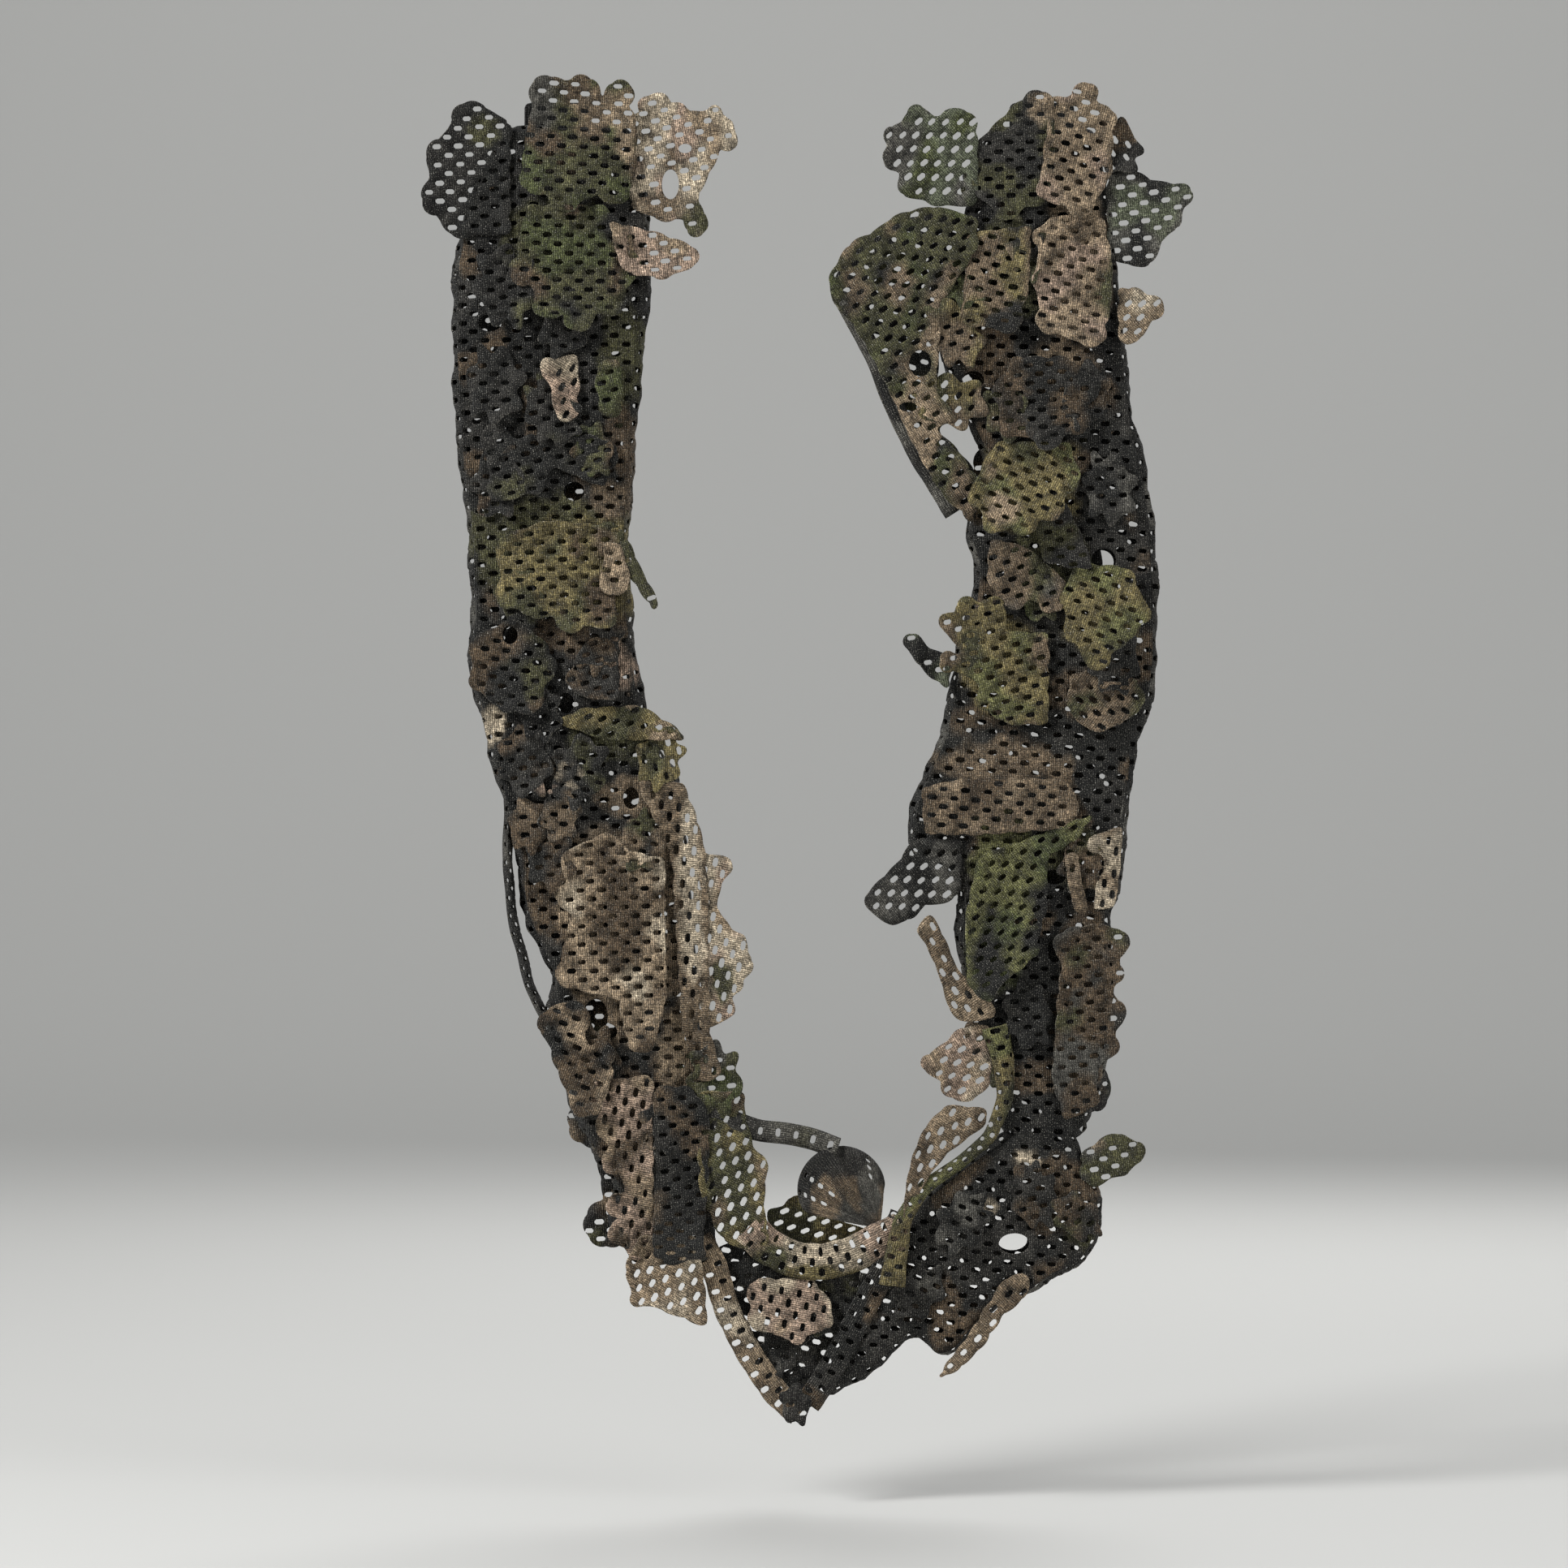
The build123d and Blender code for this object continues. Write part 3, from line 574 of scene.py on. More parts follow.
def hook_material():
    """Moulded nylon: dark, with a fine grain, scuffs and dust that lighten it."""
    material, shader, add, join = new_material("moulded_hooks")
    place = add("ShaderNodeTexCoord").outputs["Object"]
    dust = add("ShaderNodeTexNoise", {"Vector": place, "Scale": 140.0, "Detail": 5.0, "Roughness": 0.7})
    dust = dust.outputs["Fac"]
    tone = ramp(add, dust, (0.4, (0.022, 0.022, 0.021)), (0.75, (0.085, 0.082, 0.075)))
    grain = add("ShaderNodeTexNoise", {"Vector": place, "Scale": 900.0, "Detail": 3.0})
    bump = add("ShaderNodeBump", {"Height": grain.outputs["Fac"], "Strength": 0.3, "Distance": 0.0002})
    rough = add("ShaderNodeMapRange", {"Value": dust, "To Min": 0.38, "To Max": 0.7})
    join(shader, {"Base Color": tone, "Normal": bump.outputs[0], "Roughness": rough.outputs[0]})
    return material


KNIT = cloth_material("napped_knit")
RIBBED = cloth_material("ribbed_tape", rib=1.1, glint_strength=0.2)


# ---- Nets ----------------------------------------------------------------------------------------

LEFT_SPOTS = [
    # x, z, half width, half height, ink
    (-65, -62, 9, 20, "olive"), (-64, -96, 8, 14, "brown"), (-90, -20, 20, 16, "olive"),
    (-84, -72, 10, 8, "soot"),
    (-92, -128, 30, 14, "olive"), (-78, -140, 20, 20, "gold"), (-70, -116, 8, 8, "bark"),
    (-112, -140, 7, 12, "olive"), (-86, -165, 12, 8, "brown"), (-70, -178, 10, 9, "pink"),
    (-113, -199, 4.5, 7, "cream"), (-66, -204, 20, 9, "olive"), (-62, -226, 12, 8, "bark"),
    (-72, -262, 16, 26, "tan"), (-70, -300, 14, 18, "bark"), (-50, -270, 7, 40, "bark"),
    (-44, -320, 8, 22, "tan"), (-95, -250, 6, 20, "brown"), (-60, -350, 14, 20, "brown"),
    (-44, -360, 10, 24, "soot"), (-52, -388, 12, 10, "bark"),
]
RIGHT_SPOTS = [
    (75, -30, 14, 20, "olive"), (102, -28, 12, 30, "tan"), (98, -70, 12, 14, "bark"),
    (70, -62, 10, 16, "brown"),
    (84, -112, 20, 16, "gold"), (112, -112, 10, 10, "soot"), (92, -138, 16, 12, "olive"),
    (112, -158, 14, 16, "gold"), (74, -176, 16, 18, "gold"), (104, -188, 14, 8, "brown"),
    (76, -212, 26, 8, "bark"), (76, -252, 14, 20, "lime"), (100, -246, 10, 10, "olive"),
    (72, -284, 10, 14, "moss"), (106, -290, 10, 24, "brown"), (104, -320, 8, 16, "bark"),
    (96, -372, 14, 14, "brown"), (104, -384, 6, 8, "olive"), (60, -395, 16, 12, "soot"),
    (84, -360, 6, 4, "cream"), (70, -376, 3, 3, "cream"), (52, -412, 8, 10, "brown"),
    (30, -424, 10, 8, "soot"),
]
# Across the narrow place between the right arm and the chin
chin_corners = np.array([(74.5, -345.5), (80.0, -350.5), (100.0, -350.5), (106.0, -345.5)])
ARMS = {
    # its CAD nets, what joins them, spots of print, rows' angle, seed
    "left": (["left_upper", "left_lower"], [BRIDGE["left"]], LEFT_SPOTS, 2, 11),
    "right": (["right_upper", "right_lower", "chin_right"],
              [BRIDGE["right"], refine(chin_corners, step=1.3, soften=0)], RIGHT_SPOTS, -3, 21),
}
BACK_TURN = {"left": 17, "right": -17}   # so that its holes don't line up with those of the front


def nets_of(arm, side):
    """The CAD nets on one side of an arm, from the top down."""
    return [f"{part}_{side}_net" for part in ARMS[arm][0]]


def bend_at_waist(made):
    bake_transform(made)


def make_net(arm, side):
    """One continuous net over the waist, in place of the CAD nets on each side of it."""
    _, bridges, spots, angle, seed = ARMS[arm]
    if side == "back":
        angle, seed = angle + BACK_TURN[arm], seed + 1
    loops, openings = [], []
    for node in nets_of(arm, side):
        for loop, holes, _ in outlines(node):
            loops.append(refine(loop, step=2.0, soften=2))
            openings += [refine(hole, step=1.2, soften=1) for hole in holes]
    flat, tris, area = weave(loops + bridges, openings, angle=angle, seed=seed, grid=(2.3, 3.6))
    colour = printed(flat, "charcoal soot black brown", spots, seed=seed)
    sign = -1 if side == "front" else 1
    points = np.c_[flat[:, 0], sign * (NET_Y + relief(flat, side)), flat[:, 1]]
    made = make_object(f"{arm}_{side}_net", [(points, facing(tris, side), flat, colour)], KNIT)
    stand_in(made, nets_of(arm, side))
    declare([flat], area)
    bend_at_waist(made)


for side in ("front", "back"):
    for arm in ARMS:
        make_net(arm, side)


# ---- Leaves --------------------------------------------------------------------------------------

MOST_CURL = 1.25         # how far a tip may turn, in radians
STITCHES = 14            # how far from its stitches a lifting leaf is held down


def leaf_points(flat, loop, y, curl, lift, seed, side="front", hinge=None):
    """Where a leaf's points lie: over the net, its rim lifted and its tip curled outwards."""
    place = flat
    rise = np.zeros(len(flat))
    if curl:
        direction, start, radius = curl
        way = np.array(direction) / np.hypot(*direction)
        low, high = (loop @ way).min(), (loop @ way).max()
        past = np.maximum(0, flat @ way - low - (high - low) * start)
        turn = np.minimum(past / radius, MOST_CURL)
        reached = radius * np.sin(turn) + np.maximum(0, past - radius * MOST_CURL) * math.cos(MOST_CURL)
        place = flat + (reached - past)[:, None] * way
        rise = radius * (1 - np.cos(turn))
    rim = np.exp(-gap(flat, loop) / 3.2)
    wave = crumple(flat, 8.5, 8.5, seed)
    free = 1.0 if hinge is None else ease(np.abs(flat[:, 0 if hinge[0] else 1] - hinge[1]) / STITCHES)
    rise += lift * rim * (0.35 + 0.85 * np.clip(wave, -0.3, 1)) * free
    rise += free * np.clip(0.9 + 1.1 * crumple(flat, 12, 20, seed + 4), 0, 3)
    depth = abs(y) + relief(place, side) + rise
    pressed = REACH - SLOWING + SLOWING * np.tanh((depth - REACH + SLOWING) / SLOWING)
    depth = np.where(depth > REACH - SLOWING, pressed, depth)
    return np.c_[place[:, 0], -depth if side == "front" else depth, place[:, 1]]


def tucked(loop, way, distance):
    """An outline with the part furthest one way drawn out further, under or over its neighbour."""
    way = np.array(way, float) / np.hypot(*way)
    along = loop @ way
    near = np.clip((along - along.max() + 9) / 9, 0, 1)[:, None]
    return loop + near * way * distance


def bend_at_stitches(made):
    """Bakes a leaf's transform into its mesh, leaving the leaf where it lies."""
    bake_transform(made)


def make_leaf(node, inks, angle=0.0, curl=((0, -1), 0.45, 40), lift=2.6, spots=(), lobe=1.3, side="front",
              tuck=None):
    """A leaf, or a few, in place of a CAD node. inks, angle, curl and tuck may differ from leaf to leaf."""
    body = BODY[node]
    hinge = hinge_of(node) if body.endswith("_flap") else None
    seed = sum(ord(c) * (i + 1) for i, c in enumerate(node)) % 997
    parts, clouds, total = [], [], 0
    for k, (loop, holes, y) in enumerate(outlines(node, -1 if side == "front" else 1)):
        choices = (inks, angle, curl, tuck)
        ink, rows, bend, draw = [v[k % len(v)] if isinstance(v, list) else v for v in choices]
        edge = refine(loop, step=1.3, soften=3, lobe=lobe, phase=seed * 0.37 + k)
        if hinge:
            draw = ((hinge[1] - loop[:, 0].mean(), 0), 3.6) if hinge[0] else ((0, 1), 3.0)
        if draw:
            edge = tucked(edge, *draw)
        openings = [refine(hole, step=1.0, soften=1) for hole in holes]
        flat, tris, area = weave([edge], openings, angle=rows, seed=seed + k)
        depth = abs(y) - CAD_THICK / 2
        points = leaf_points(flat, edge, depth, bend, lift, seed * 0.11 + k, side, hinge)
        colour = printed(flat, ink, spots, seed=seed * 0.7 + k, patch=12.0)
        knit = turned(flat, -rows) + 31.0 * (k + 1)
        parts.append((points, facing(tris, side), knit, colour))
        clouds.append(edge)
        total += area
    made = make_object(node + "_cloth", parts, KNIT)
    stand_in(made, [node], None if hinge else body)
    declare(clouds, total)
    if hinge:
        bend_at_stitches(made)


LEAVES = [
    # node, inks, rows' angle, (curl direction, start, radius), lift, spots
    ("left_dark_leaf", "charcoal soot black", 4, ((-1, 0.2), 0.35, 60), 1.6,
     [(-116, 20, 5, 6, "olive")]),
    ("left_crown_leaf", "olive brown moss", -3, ((0.1, 1), 0.45, 55), 2.2,
     [(-95, 30, 6, 12, "grey"), (-76, 26, 7, 12, "bark"), (-64, 22, 5, 14, "tan"), (-100, 2, 6, 9, "moss")]),
    ("left_tan_leaf", "cream pink tan", 8, ((1, 0.3), 0.30, 45), 2.4,
     [(-38, -14, 9, 7, "olive"), (-50, -8, 10, 7, "bark"), (-47, 10, 3, 6, "brown")]),
    ("left_moss_leaf", "olive moss charcoal brown", -2, ((0, -1), 0.5, 38), 3.2, ()),
    ("left_gold_leaf", "gold olive brown", 3, ((0, -1), 0.45, 40), 3.2,
     [(-72, -132, 6, 6, "bark")]),
    ("left_hanging_finger", "olive soot", 20, ((0.6, -1), 0.3, 40), 1.0, ()),
    ("left_olive_wrap", "gold olive tan", 30, None, 0.8, ()),
    ("right_green_top_leaf", "sage moss grey", 40, ((-1, 0.3), 0.3, 60), 1.6, ()),
    ("right_dark_top_leaf", "soot olive charcoal", 2, ((0, 1), 0.5, 50), 2.0,
     [(90, 28, 5, 6, "tan")]),
    ("right_tan_top_leaf", "tan pink bark", -12, ((0.2, 1), 0.5, 40), 2.6, ()),
    ("right_spiky_leaf", "sage grey charcoal", 6, ((1, 0), 0.3, 55), 1.6, ()),
    ("right_long_tan_leaf", "tan bark pink olive", -8, ((0, -1), 0.5, 45), 2.8, ()),
    ("right_gold_leaf", "gold lime olive bark", -25, ((0, -1), 0.35, 34), 2.6,
     [(74, -120, 6, 6, "tan")]),
    ("right_yellow_leaf", "gold lime olive", -18, ((0, -1), 0.35, 36), 2.6, ()),
    ("right_moss_leaf", "gold olive lime bark", 12, ((-1, 0), 0.35, 52), 2.6, ()),
    ("left_tan_leaf_low", "tan brown cream", 2, ((0, -1), 0.55, 50), 2.6,
     [(-66, -272, 10, 20, "brown")]),
    ("left_inner_strip", "bark tan brown", 86, ((1, 0), 0.6, 30), 1.8,
     [(-40, -262, 4, 40, "cream")]),
    ("left_inner_lobes", "cream tan pink", 78, ((1, 0), 0.3, 40), 1.8,
     [(-28, -292, 5, 8, "olive")]),
    ("left_lobed_leaf", "pink tan brown", 80, ((-1, -0.2), 0.4, 36), 2.6, ()),
    ("right_tan_wrap", "bark tan brown", -4, None, 0.8, ()),
    ("right_green_leaf_low", "lime moss charcoal", 35, ((0.2, -1), 0.5, 45), 2.6,
     [(70, -292, 8, 10, "charcoal")]),
    ("right_pointing_leaf", "charcoal grey soot", 38, ((-1, -0.4), 0.35, 45), 1.8,
     [(28, -266, 5, 4, "grey")]),
    ("right_light_leaf", "pink tan cream", 30, ((-1, 0), 0.3, 34), 1.8, ()),
    ("right_outer_leaf", "brown grey olive soot", 4, ((1, 0), 0.4, 40), 2.8, ()),
    ("chin_inner_strip", "gold olive bark", 62, ((1, 0), 0.5, 30), 1.8, ()),
    ("chin_light_leaf", "pink cream tan", 80, ((0, -1), 0.3, 34), 1.6, ()),
    ("chin_thin_leaf", "tan bark", 45, ((-0.5, -1), 0.3, 40), 1.2, ()),
    ("chin_side_lobe", "olive grey tan", 10, ((1, 0), 0.3, 30), 1.6, ()),
]
for leaf in LEAVES:
    make_leaf(*leaf, tuck=((-1, 0), 6) if leaf[0] == "chin_inner_strip" else None)

make_leaf("left_small_leaves",
          ["pink tan", "soot brown olive", "tan pink", "cream pink", "olive moss bark"], [5, 20, -10, 60, 15],
          [((0, -1), 0.4, 20), ((0, -1), 0.4, 24), ((1, -1), 0.4, 20), ((-1, 0.4), 0.4, 22),
           ((1, -0.2), 0.4, 34)])
make_leaf("left_bark_leaves", ["charcoal brown olive", "charcoal soot olive"], [-6, 12])
make_leaf("right_dark_leaves", ["charcoal brown soot", "bark gold charcoal"], [4, -14])
make_leaf("right_small_leaves",
          ["charcoal sage", "bark olive", "bark grey olive", "charcoal soot olive", "tan cream"],
          [10, -35, 20, 5, 40])
make_leaf("left_chin_leaves", ["tan cream bark", "charcoal soot brown", "brown tan charcoal"], [60, 4, -20],
          tuck=[((0, 1), 5), ((0, 1), 2), ((0, 1), 2)])
make_leaf("right_inner_strips", ["bark tan brown", "tan bark"], [58, -55], ((-1, 0), 0.4, 26), 1.4, lobe=0.8,
          tuck=((1, 0), 5))
make_leaf("right_hem_leaves", ["tan bark", "cream tan"], [80, 84], lobe=0.6)
make_leaf("right_shoulder_cloth", "olive moss charcoal bark", 32, ((-1, 0), 0.6, 60), 2.2,
          [(42, -92, 12, 22, "tan"), (30, -52, 14, 10, "olive"), (52, -50, 5, 14, "tan")], tuck=((1, 0), 6))
for node in ("upper_back_leaves", "lower_back_leaves"):
    make_leaf(node, "charcoal olive brown bark", 3, ((1, 0), 0.62, 30), 3.2, lobe=1.8, side="back")


# Leaves cut from the net itself, sewn on at their tops
def cut_leaf(x, z, size, turn, lobes, seed):
    """A lobed leaf's outline, its tip pointing down when turn is 0."""
    at = np.linspace(0, 2 * math.pi, 72, endpoint=False)
    reach = 1 + 0.16 * np.sin(at * lobes + seed) + 0.08 * np.sin(at * (lobes + 3) + 2 * seed)
    return turned(np.c_[0.72 * size * reach * np.sin(at), -size * reach * np.cos(at)], turn) + (x, z)


# Each group's body, or None where it lies over the waist, and its leaves
CUT_LEAVES = {
    "left_cut_leaves": ("drape", [
        # x, z, size, turn, lobes, inks
        (-108, -38, 15, 10, 7, "charcoal soot olive"), (-86, -52, 12, -20, 6, "soot charcoal black"),
        (-112, -74, 14, 5, 7, "charcoal black soot"), (-91, -84, 13, 25, 8, "charcoal olive soot"),
        (-111, -110, 13, -8, 6, "soot brown charcoal"), (-76, -98, 10, 12, 6, "olive moss brown"),
        (-74, -168, 12, -15, 7, "brown bark soot"), (-103, -152, 11, 20, 6, "olive charcoal moss")]),
    "right_cut_leaves": ("drape", [
        (105, -78, 12, -12, 6, "soot charcoal brown"), (114, -112, 13, 8, 7, "charcoal soot grey"),
        (76, -84, 11, 18, 6, "olive brown bark"), (116, -176, 12, -6, 7, "charcoal brown soot"),
        (88, -150, 11, 10, 6, "olive moss soot"), (84, -26, 10, 0, 6, "olive soot tan"),
        (117, 14, 11, 205, 6, "soot brown charcoal"), (57, -55, 13, 30, 7, "bark olive gold"),
        (56, -80, 13, 82, 6, "gold olive bark"), (60, -36, 10, 20, 6, "olive moss tan")]),
    "left_low_cut_leaves": ("chin", [
        (-92, -248, 12, 12, 6, "charcoal soot brown"), (-58, -242, 11, -14, 7, "bark olive soot"),
        (-76, -322, 13, 8, 7, "soot tan brown"), (-50, -345, 11, -10, 6, "charcoal bark soot"),
        (-31, -329, 13, 10, 7, "olive grey moss")]),
    "right_low_cut_leaves": ("chin", [
        (104, -250, 11, -8, 6, "brown soot olive"), (84, -306, 12, 10, 7, "charcoal soot black"),
        (60, -382, 12, -35, 7, "charcoal soot grey"), (86, -372, 12, 20, 8, "soot brown charcoal"),
        (102, -380, 10, 50, 6, "brown olive soot"), (44, -408, 11, -42, 6, "soot charcoal grey")]),
    "left_waist_cut_leaves": (None, [
        (-51.5, -211, 11.5, 172, 7, "gold olive moss"), (-101, -213, 13, 12, 7, "soot brown charcoal"),
        (-81, -216, 13, -18, 6, "charcoal soot olive"), (-100, -236, 10, 6, 6, "brown bark soot"),
        (-96, -194, 11, 18, 7, "charcoal soot black"), (-88, -232, 10, -8, 6, "soot charcoal bark")]),
    "chin_point_cut_leaves": ("chin", [
        (-8, -430, 10, -15, 7, "charcoal soot grey"), (2, -440, 9, 10, 6, "soot charcoal black"),
        (-14, -404, 12, 35, 7, "charcoal black soot"), (14, -412, 13, -30, 6, "soot charcoal olive"),
        (0, -416, 12, 5, 6, "black charcoal soot")]),
    "chin_tip_cut_leaf": ("chin", [(-1.5, -449, 7.5, 8, 5, "soot charcoal grey")]),
}
CUT_DEPTH = {"chin_point_cut_leaves": 2.6, "chin_tip_cut_leaf": 9.8}      # where it isn't that of the nets
PALE_FLECKS = [(-86, -214, 1.6, 1.3, "cream"), (-88.5, -218, 1.8, 1.4, "cream"),
               (-81, -217, 1.5, 1.2, "cream"), (-84, -221, 1.7, 1.3, "cream"),
               (-83.5, -210, 1.4, 1.2, "cream"), (-93, -222, 2.4, 2.0, "pink")]
for seed, (name, (body, cuts)) in enumerate(CUT_LEAVES.items()):
    parts, clouds, total = [], [], 0
    for k, (x, z, size, turn, lobes, inks) in enumerate(cuts):
        edge = refine(cut_leaf(x, z, size, turn, lobes, seed + k), step=1.2, soften=1)
        flat, tris, area = weave([edge], angle=turn * 0.6, seed=500 + 10 * seed + k)
        depth = CUT_DEPTH.get(name, NET_Y + 0.6)
        points = leaf_points(flat, edge, depth, ((0.2, -1), 0.5, 30), 2.2, 60 + 7 * seed + k)
        colour = printed(flat, inks, PALE_FLECKS, seed=80 + 9 * seed + k, patch=9)
        parts.append((points, tris, flat + 19.0 * (k + 1), colour))
        clouds.append(edge)
        total += area
    made = make_object(name, parts, KNIT)
    declare(clouds, total)
    if body:
        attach(made, body)
    else:
        bend_at_waist(made)

# A dark sheet behind the shoulder cloth, a little smaller than it: painted shade that darkens what shows through
# the holes
edge = refine(outlines("right_shoulder_cloth")[0][0], step=1.6, soften=3, lobe=1.0, phase=2.0)
edge = tucked(edge, (1, 0), 6) * 0.97 + (2.2, -2.0)
flat, tris, area = weave([edge], angle=-18, seed=77)
points = np.c_[flat[:, 0], -2.0 + 1.5 * crumple(flat, 12, 24, 12), flat[:, 1]]
colour = printed(flat, "charcoal soot olive", seed=33)
made = make_object("right_shoulder_shade_sheet", [(points, tris, flat, colour)], KNIT)
declare([edge], area)
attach(made, "drape")


# ---- Folds, hems and strips ------------------------------------------------------------------------

RIBBED_GRID = (0.75, 2.4)    # between points of a ribbed strip, across it and along it


def eased(path, soften=12, closed=False, step=0.8):
    """A path divided evenly with its corners eased, and how far along it each point is."""
    path = np.array(path, float)
    if closed:
        path = np.vstack([path, path[:1]])
    run = np.r_[0, np.cumsum(np.hypot(*np.diff(path, axis=0).T))]
    at = np.linspace(0, run[-1], int(run[-1] / step) + 2)
    line = np.c_[np.interp(at, run, path[:, 0]), np.interp(at, run, path[:, 1])]
    for _ in range(soften):
        if closed:
            line = line[:-1]
            line = (np.roll(line, 1, 0) + 2 * line + np.roll(line, -1, 0)) / 4
            line = np.vstack([line, line[:1]])
        else:
            line[1:-1] = (line[:-2] + 2 * line[1:-1] + line[2:]) / 4
    return line, np.r_[0, np.cumsum(np.hypot(*np.diff(line, axis=0).T))]


def beside(track, along, out):
    """Points at distances along a track and out to its left."""
    line, run = track
    step = np.gradient(line, axis=0)
    step /= np.maximum(np.hypot(step[:, 0], step[:, 1]), 1e-6)[:, None]
    normal = np.c_[-step[:, 1], step[:, 0]]
    spot = [np.interp(along, run, line[:, k]) + out * np.interp(along, run, normal[:, k]) for k in (0, 1)]
    return np.array(spot).T


def spine(loop):
    """The middle line of a band's outline, from one end to the other."""
    half = len(loop) // 2
    return (loop[1:half + 1] + np.vstack([loop[:1], loop[:half:-1]])) / 2


def ridges(flat, pitch, height):
    return height * np.abs(np.sin(np.pi * flat[:, 0] / pitch))


def rectangle(width, length):
    return np.array([(-width / 2, -length), (width / 2, -length), (width / 2, 0), (-width / 2, 0)])


def strip(path, width, place, inks, seed, grid=RIBBED_GRID, spots=(), punched=True, closed=False, soften=12,
          lobe=0.0):
    """A strip of cloth along a path. place turns its flat points into distances out and back."""
    track = eased(path, soften, closed)
    length = track[1][-1]
    edge = refine(rectangle(width, length), step=1.6, soften=0, lobe=lobe, phase=seed)
    flat, tris, area = weave([edge], angle=0, seed=int(seed * 10), punched=punched, grid=grid)
    out, y = place(flat, length)
    spot = beside(track, -flat[:, 1], out)
    colour = printed(spot, inks, spots, seed=seed)
    return (np.c_[spot[:, 0], y, spot[:, 1]], tris, flat + 53.0 * seed, colour), edge, area


def make_strips(name, strips, nodes, material=KNIT, thick=THICK):
    """One object of several strips, in place of CAD nodes."""
    made = make_object(name, [part for part, _, _ in strips], material, thick)
    over_waist = len({BODY[node] for node in nodes}) > 1
    stand_in(made, nodes, None if over_waist else BODY[nodes[0]])
    declare([edge for _, edge, _ in strips], sum(area for _, _, area in strips))
    if over_waist:
        bend_at_waist(made)


def outer_rim(loops):
    """The outline of several overlapping loops taken together."""
    flat, tris, _ = weave(loops, punched=False)
    known = {(a, b) for a, b in sides(tris).tolist()}
    follow = {a: b for a, b in sorted(known) if (b, a) not in known}
    best = []
    while follow:
        at = min(follow)
        ring = []
        while at in follow:
            ring.append(at)
            at = follow.pop(at)
        best = max(best, ring, key=len)
    return flat[best]


def fold_place(seed):
    """A fold that turns the cloth from its front net round to its back net."""
    def place(flat, length):
        turn = (flat[:, 0] / FOLD_WIDTH + 0.5) * math.pi
        wrinkle = crumple(flat, 5, 15, seed)
        out = 1.4 - (3.2 + 1.2 * wrinkle + 0.6 * crumple(flat, 3, 6, seed + 4)) * np.sin(turn)
        return out, -(NET_Y - 0.2) * np.cos(turn) * (1 + 0.06 * wrinkle)
    return place


def roll_place(across, deep, y, seed, rib=1.5, rough=0.5):
    """A flattened roll of cloth, across wide and deep thick, ribbed lengthwise."""
    def place(flat, length):
        turn = flat[:, 0] / (flat[:, 0].max() - flat[:, 0].min()) * 2 * math.pi
        swell = 1 + (ridges(flat, rib, 0.13) + 0.12 * crumple(flat, 6, 12, seed))
        out = across / 2 * np.cos(turn) * swell + rough * crumple(flat * (0.02, 1), 1, 17, seed + 2)
        return out, y + deep / 2 * np.sin(turn) * swell
    return place


FOLD_WIDTH = 16.5
folds = []
for seed, (arm, (_, bridges, spots, _, _)) in enumerate(ARMS.items(), 3):
    nets = [refine(outlines(node)[0][0], step=2.0, soften=2) for node in nets_of(arm, "front")]
    rim = outer_rim(nets + bridges)
    folds.append(strip(rim, FOLD_WIDTH, fold_place(seed), "charcoal soot black grey", seed, grid=(1.8, 3.0),
                       spots=spots, closed=True, soften=6))
slit = spine(outlines("left_slit_hem")[0][0])
slit = np.vstack([slit[:1] + (-1.5, 13), slit, slit[-1:] + (4, -6)])
folds.append(strip(slit, 25, roll_place(3.0, 11.0, 0, 5), "charcoal grey soot", 5, grid=(1.8, 3.0)))
make_strips("edge_fold_cloth", folds, ["outer_folds", "inner_folds", "left_slit_hem"])

hem = spine(outlines("right_edge_hem")[0][0])
make_strips("right_edge_hem_cloth",
            [strip(hem, 16.0, roll_place(6.0, 3.4, -5.8, 6), "soot grey charcoal", 6, punched=False)],
            ["right_edge_hem"])


def ribbon_place(y, upright):
    def place(flat, length):
        rib = ridges(flat, 1.2, 0.16)
        return (rib, y + flat[:, 0]) if upright else (flat[:, 0], y - rib)
    return place


ribbons = []
for k, (loop, _, y) in enumerate(outlines("edge_elastics")):
    in_front = y < -4                    # inside the right edge hem, where it lies flat
    place = ribbon_place(y + 0.4 if in_front else 0, not in_front)
    width = 3.0 if in_front else 6.0
    ribbons.append(strip(spine(loop), width, place, "black charcoal", 7 + k, grid=(0.4, 3.0), punched=False))
make_strips("edge_elastic_ribbons", ribbons, ["edge_elastics"], RIBBED, 0.7)


def ribbed_band(y, bow, seed, rib=1.5, wave=0.8):
    """A band of ribbed cloth that bows out towards the front, between its edges."""
    def place(flat, length):
        u = flat[:, 0] / (flat[:, 0].max() - flat[:, 0].min()) * 2
        rise = bow * (1 - u * u) + ridges(flat, rib, 0.28) + wave * crumple(flat, 8, 12, seed)
        return flat[:, 0] * 0.97, y - rise
    return place


bands = sorted([loop for loop, _, _ in outlines("chin_point_strips")], key=lambda loop: loop[:, 0].mean())
left, right = [spine(loop) for loop in bands]
left = np.vstack([[(-37, -388)], left])          # from under the cloth above, and to the point
right = np.vstack([[(38, -379)], right, [(3, -449)]])
make_strips("chin_point_strips_cloth",
            [strip(left, 9.5, ribbed_band(-6.8, 1.6, 9), "tan cream bark brown", 9, lobe=0.7),
             strip(right, 9.5, ribbed_band(-8.2, 1.6, 10), "soot brown charcoal", 10, lobe=0.7)],
            ["chin_point_strips"])
make_leaf("chin_point_net", "charcoal soot grey", -12, ((0, -1), 0.6, 40), 1.4, lobe=1.0, side="back",
          tuck=((0, 1), 5))


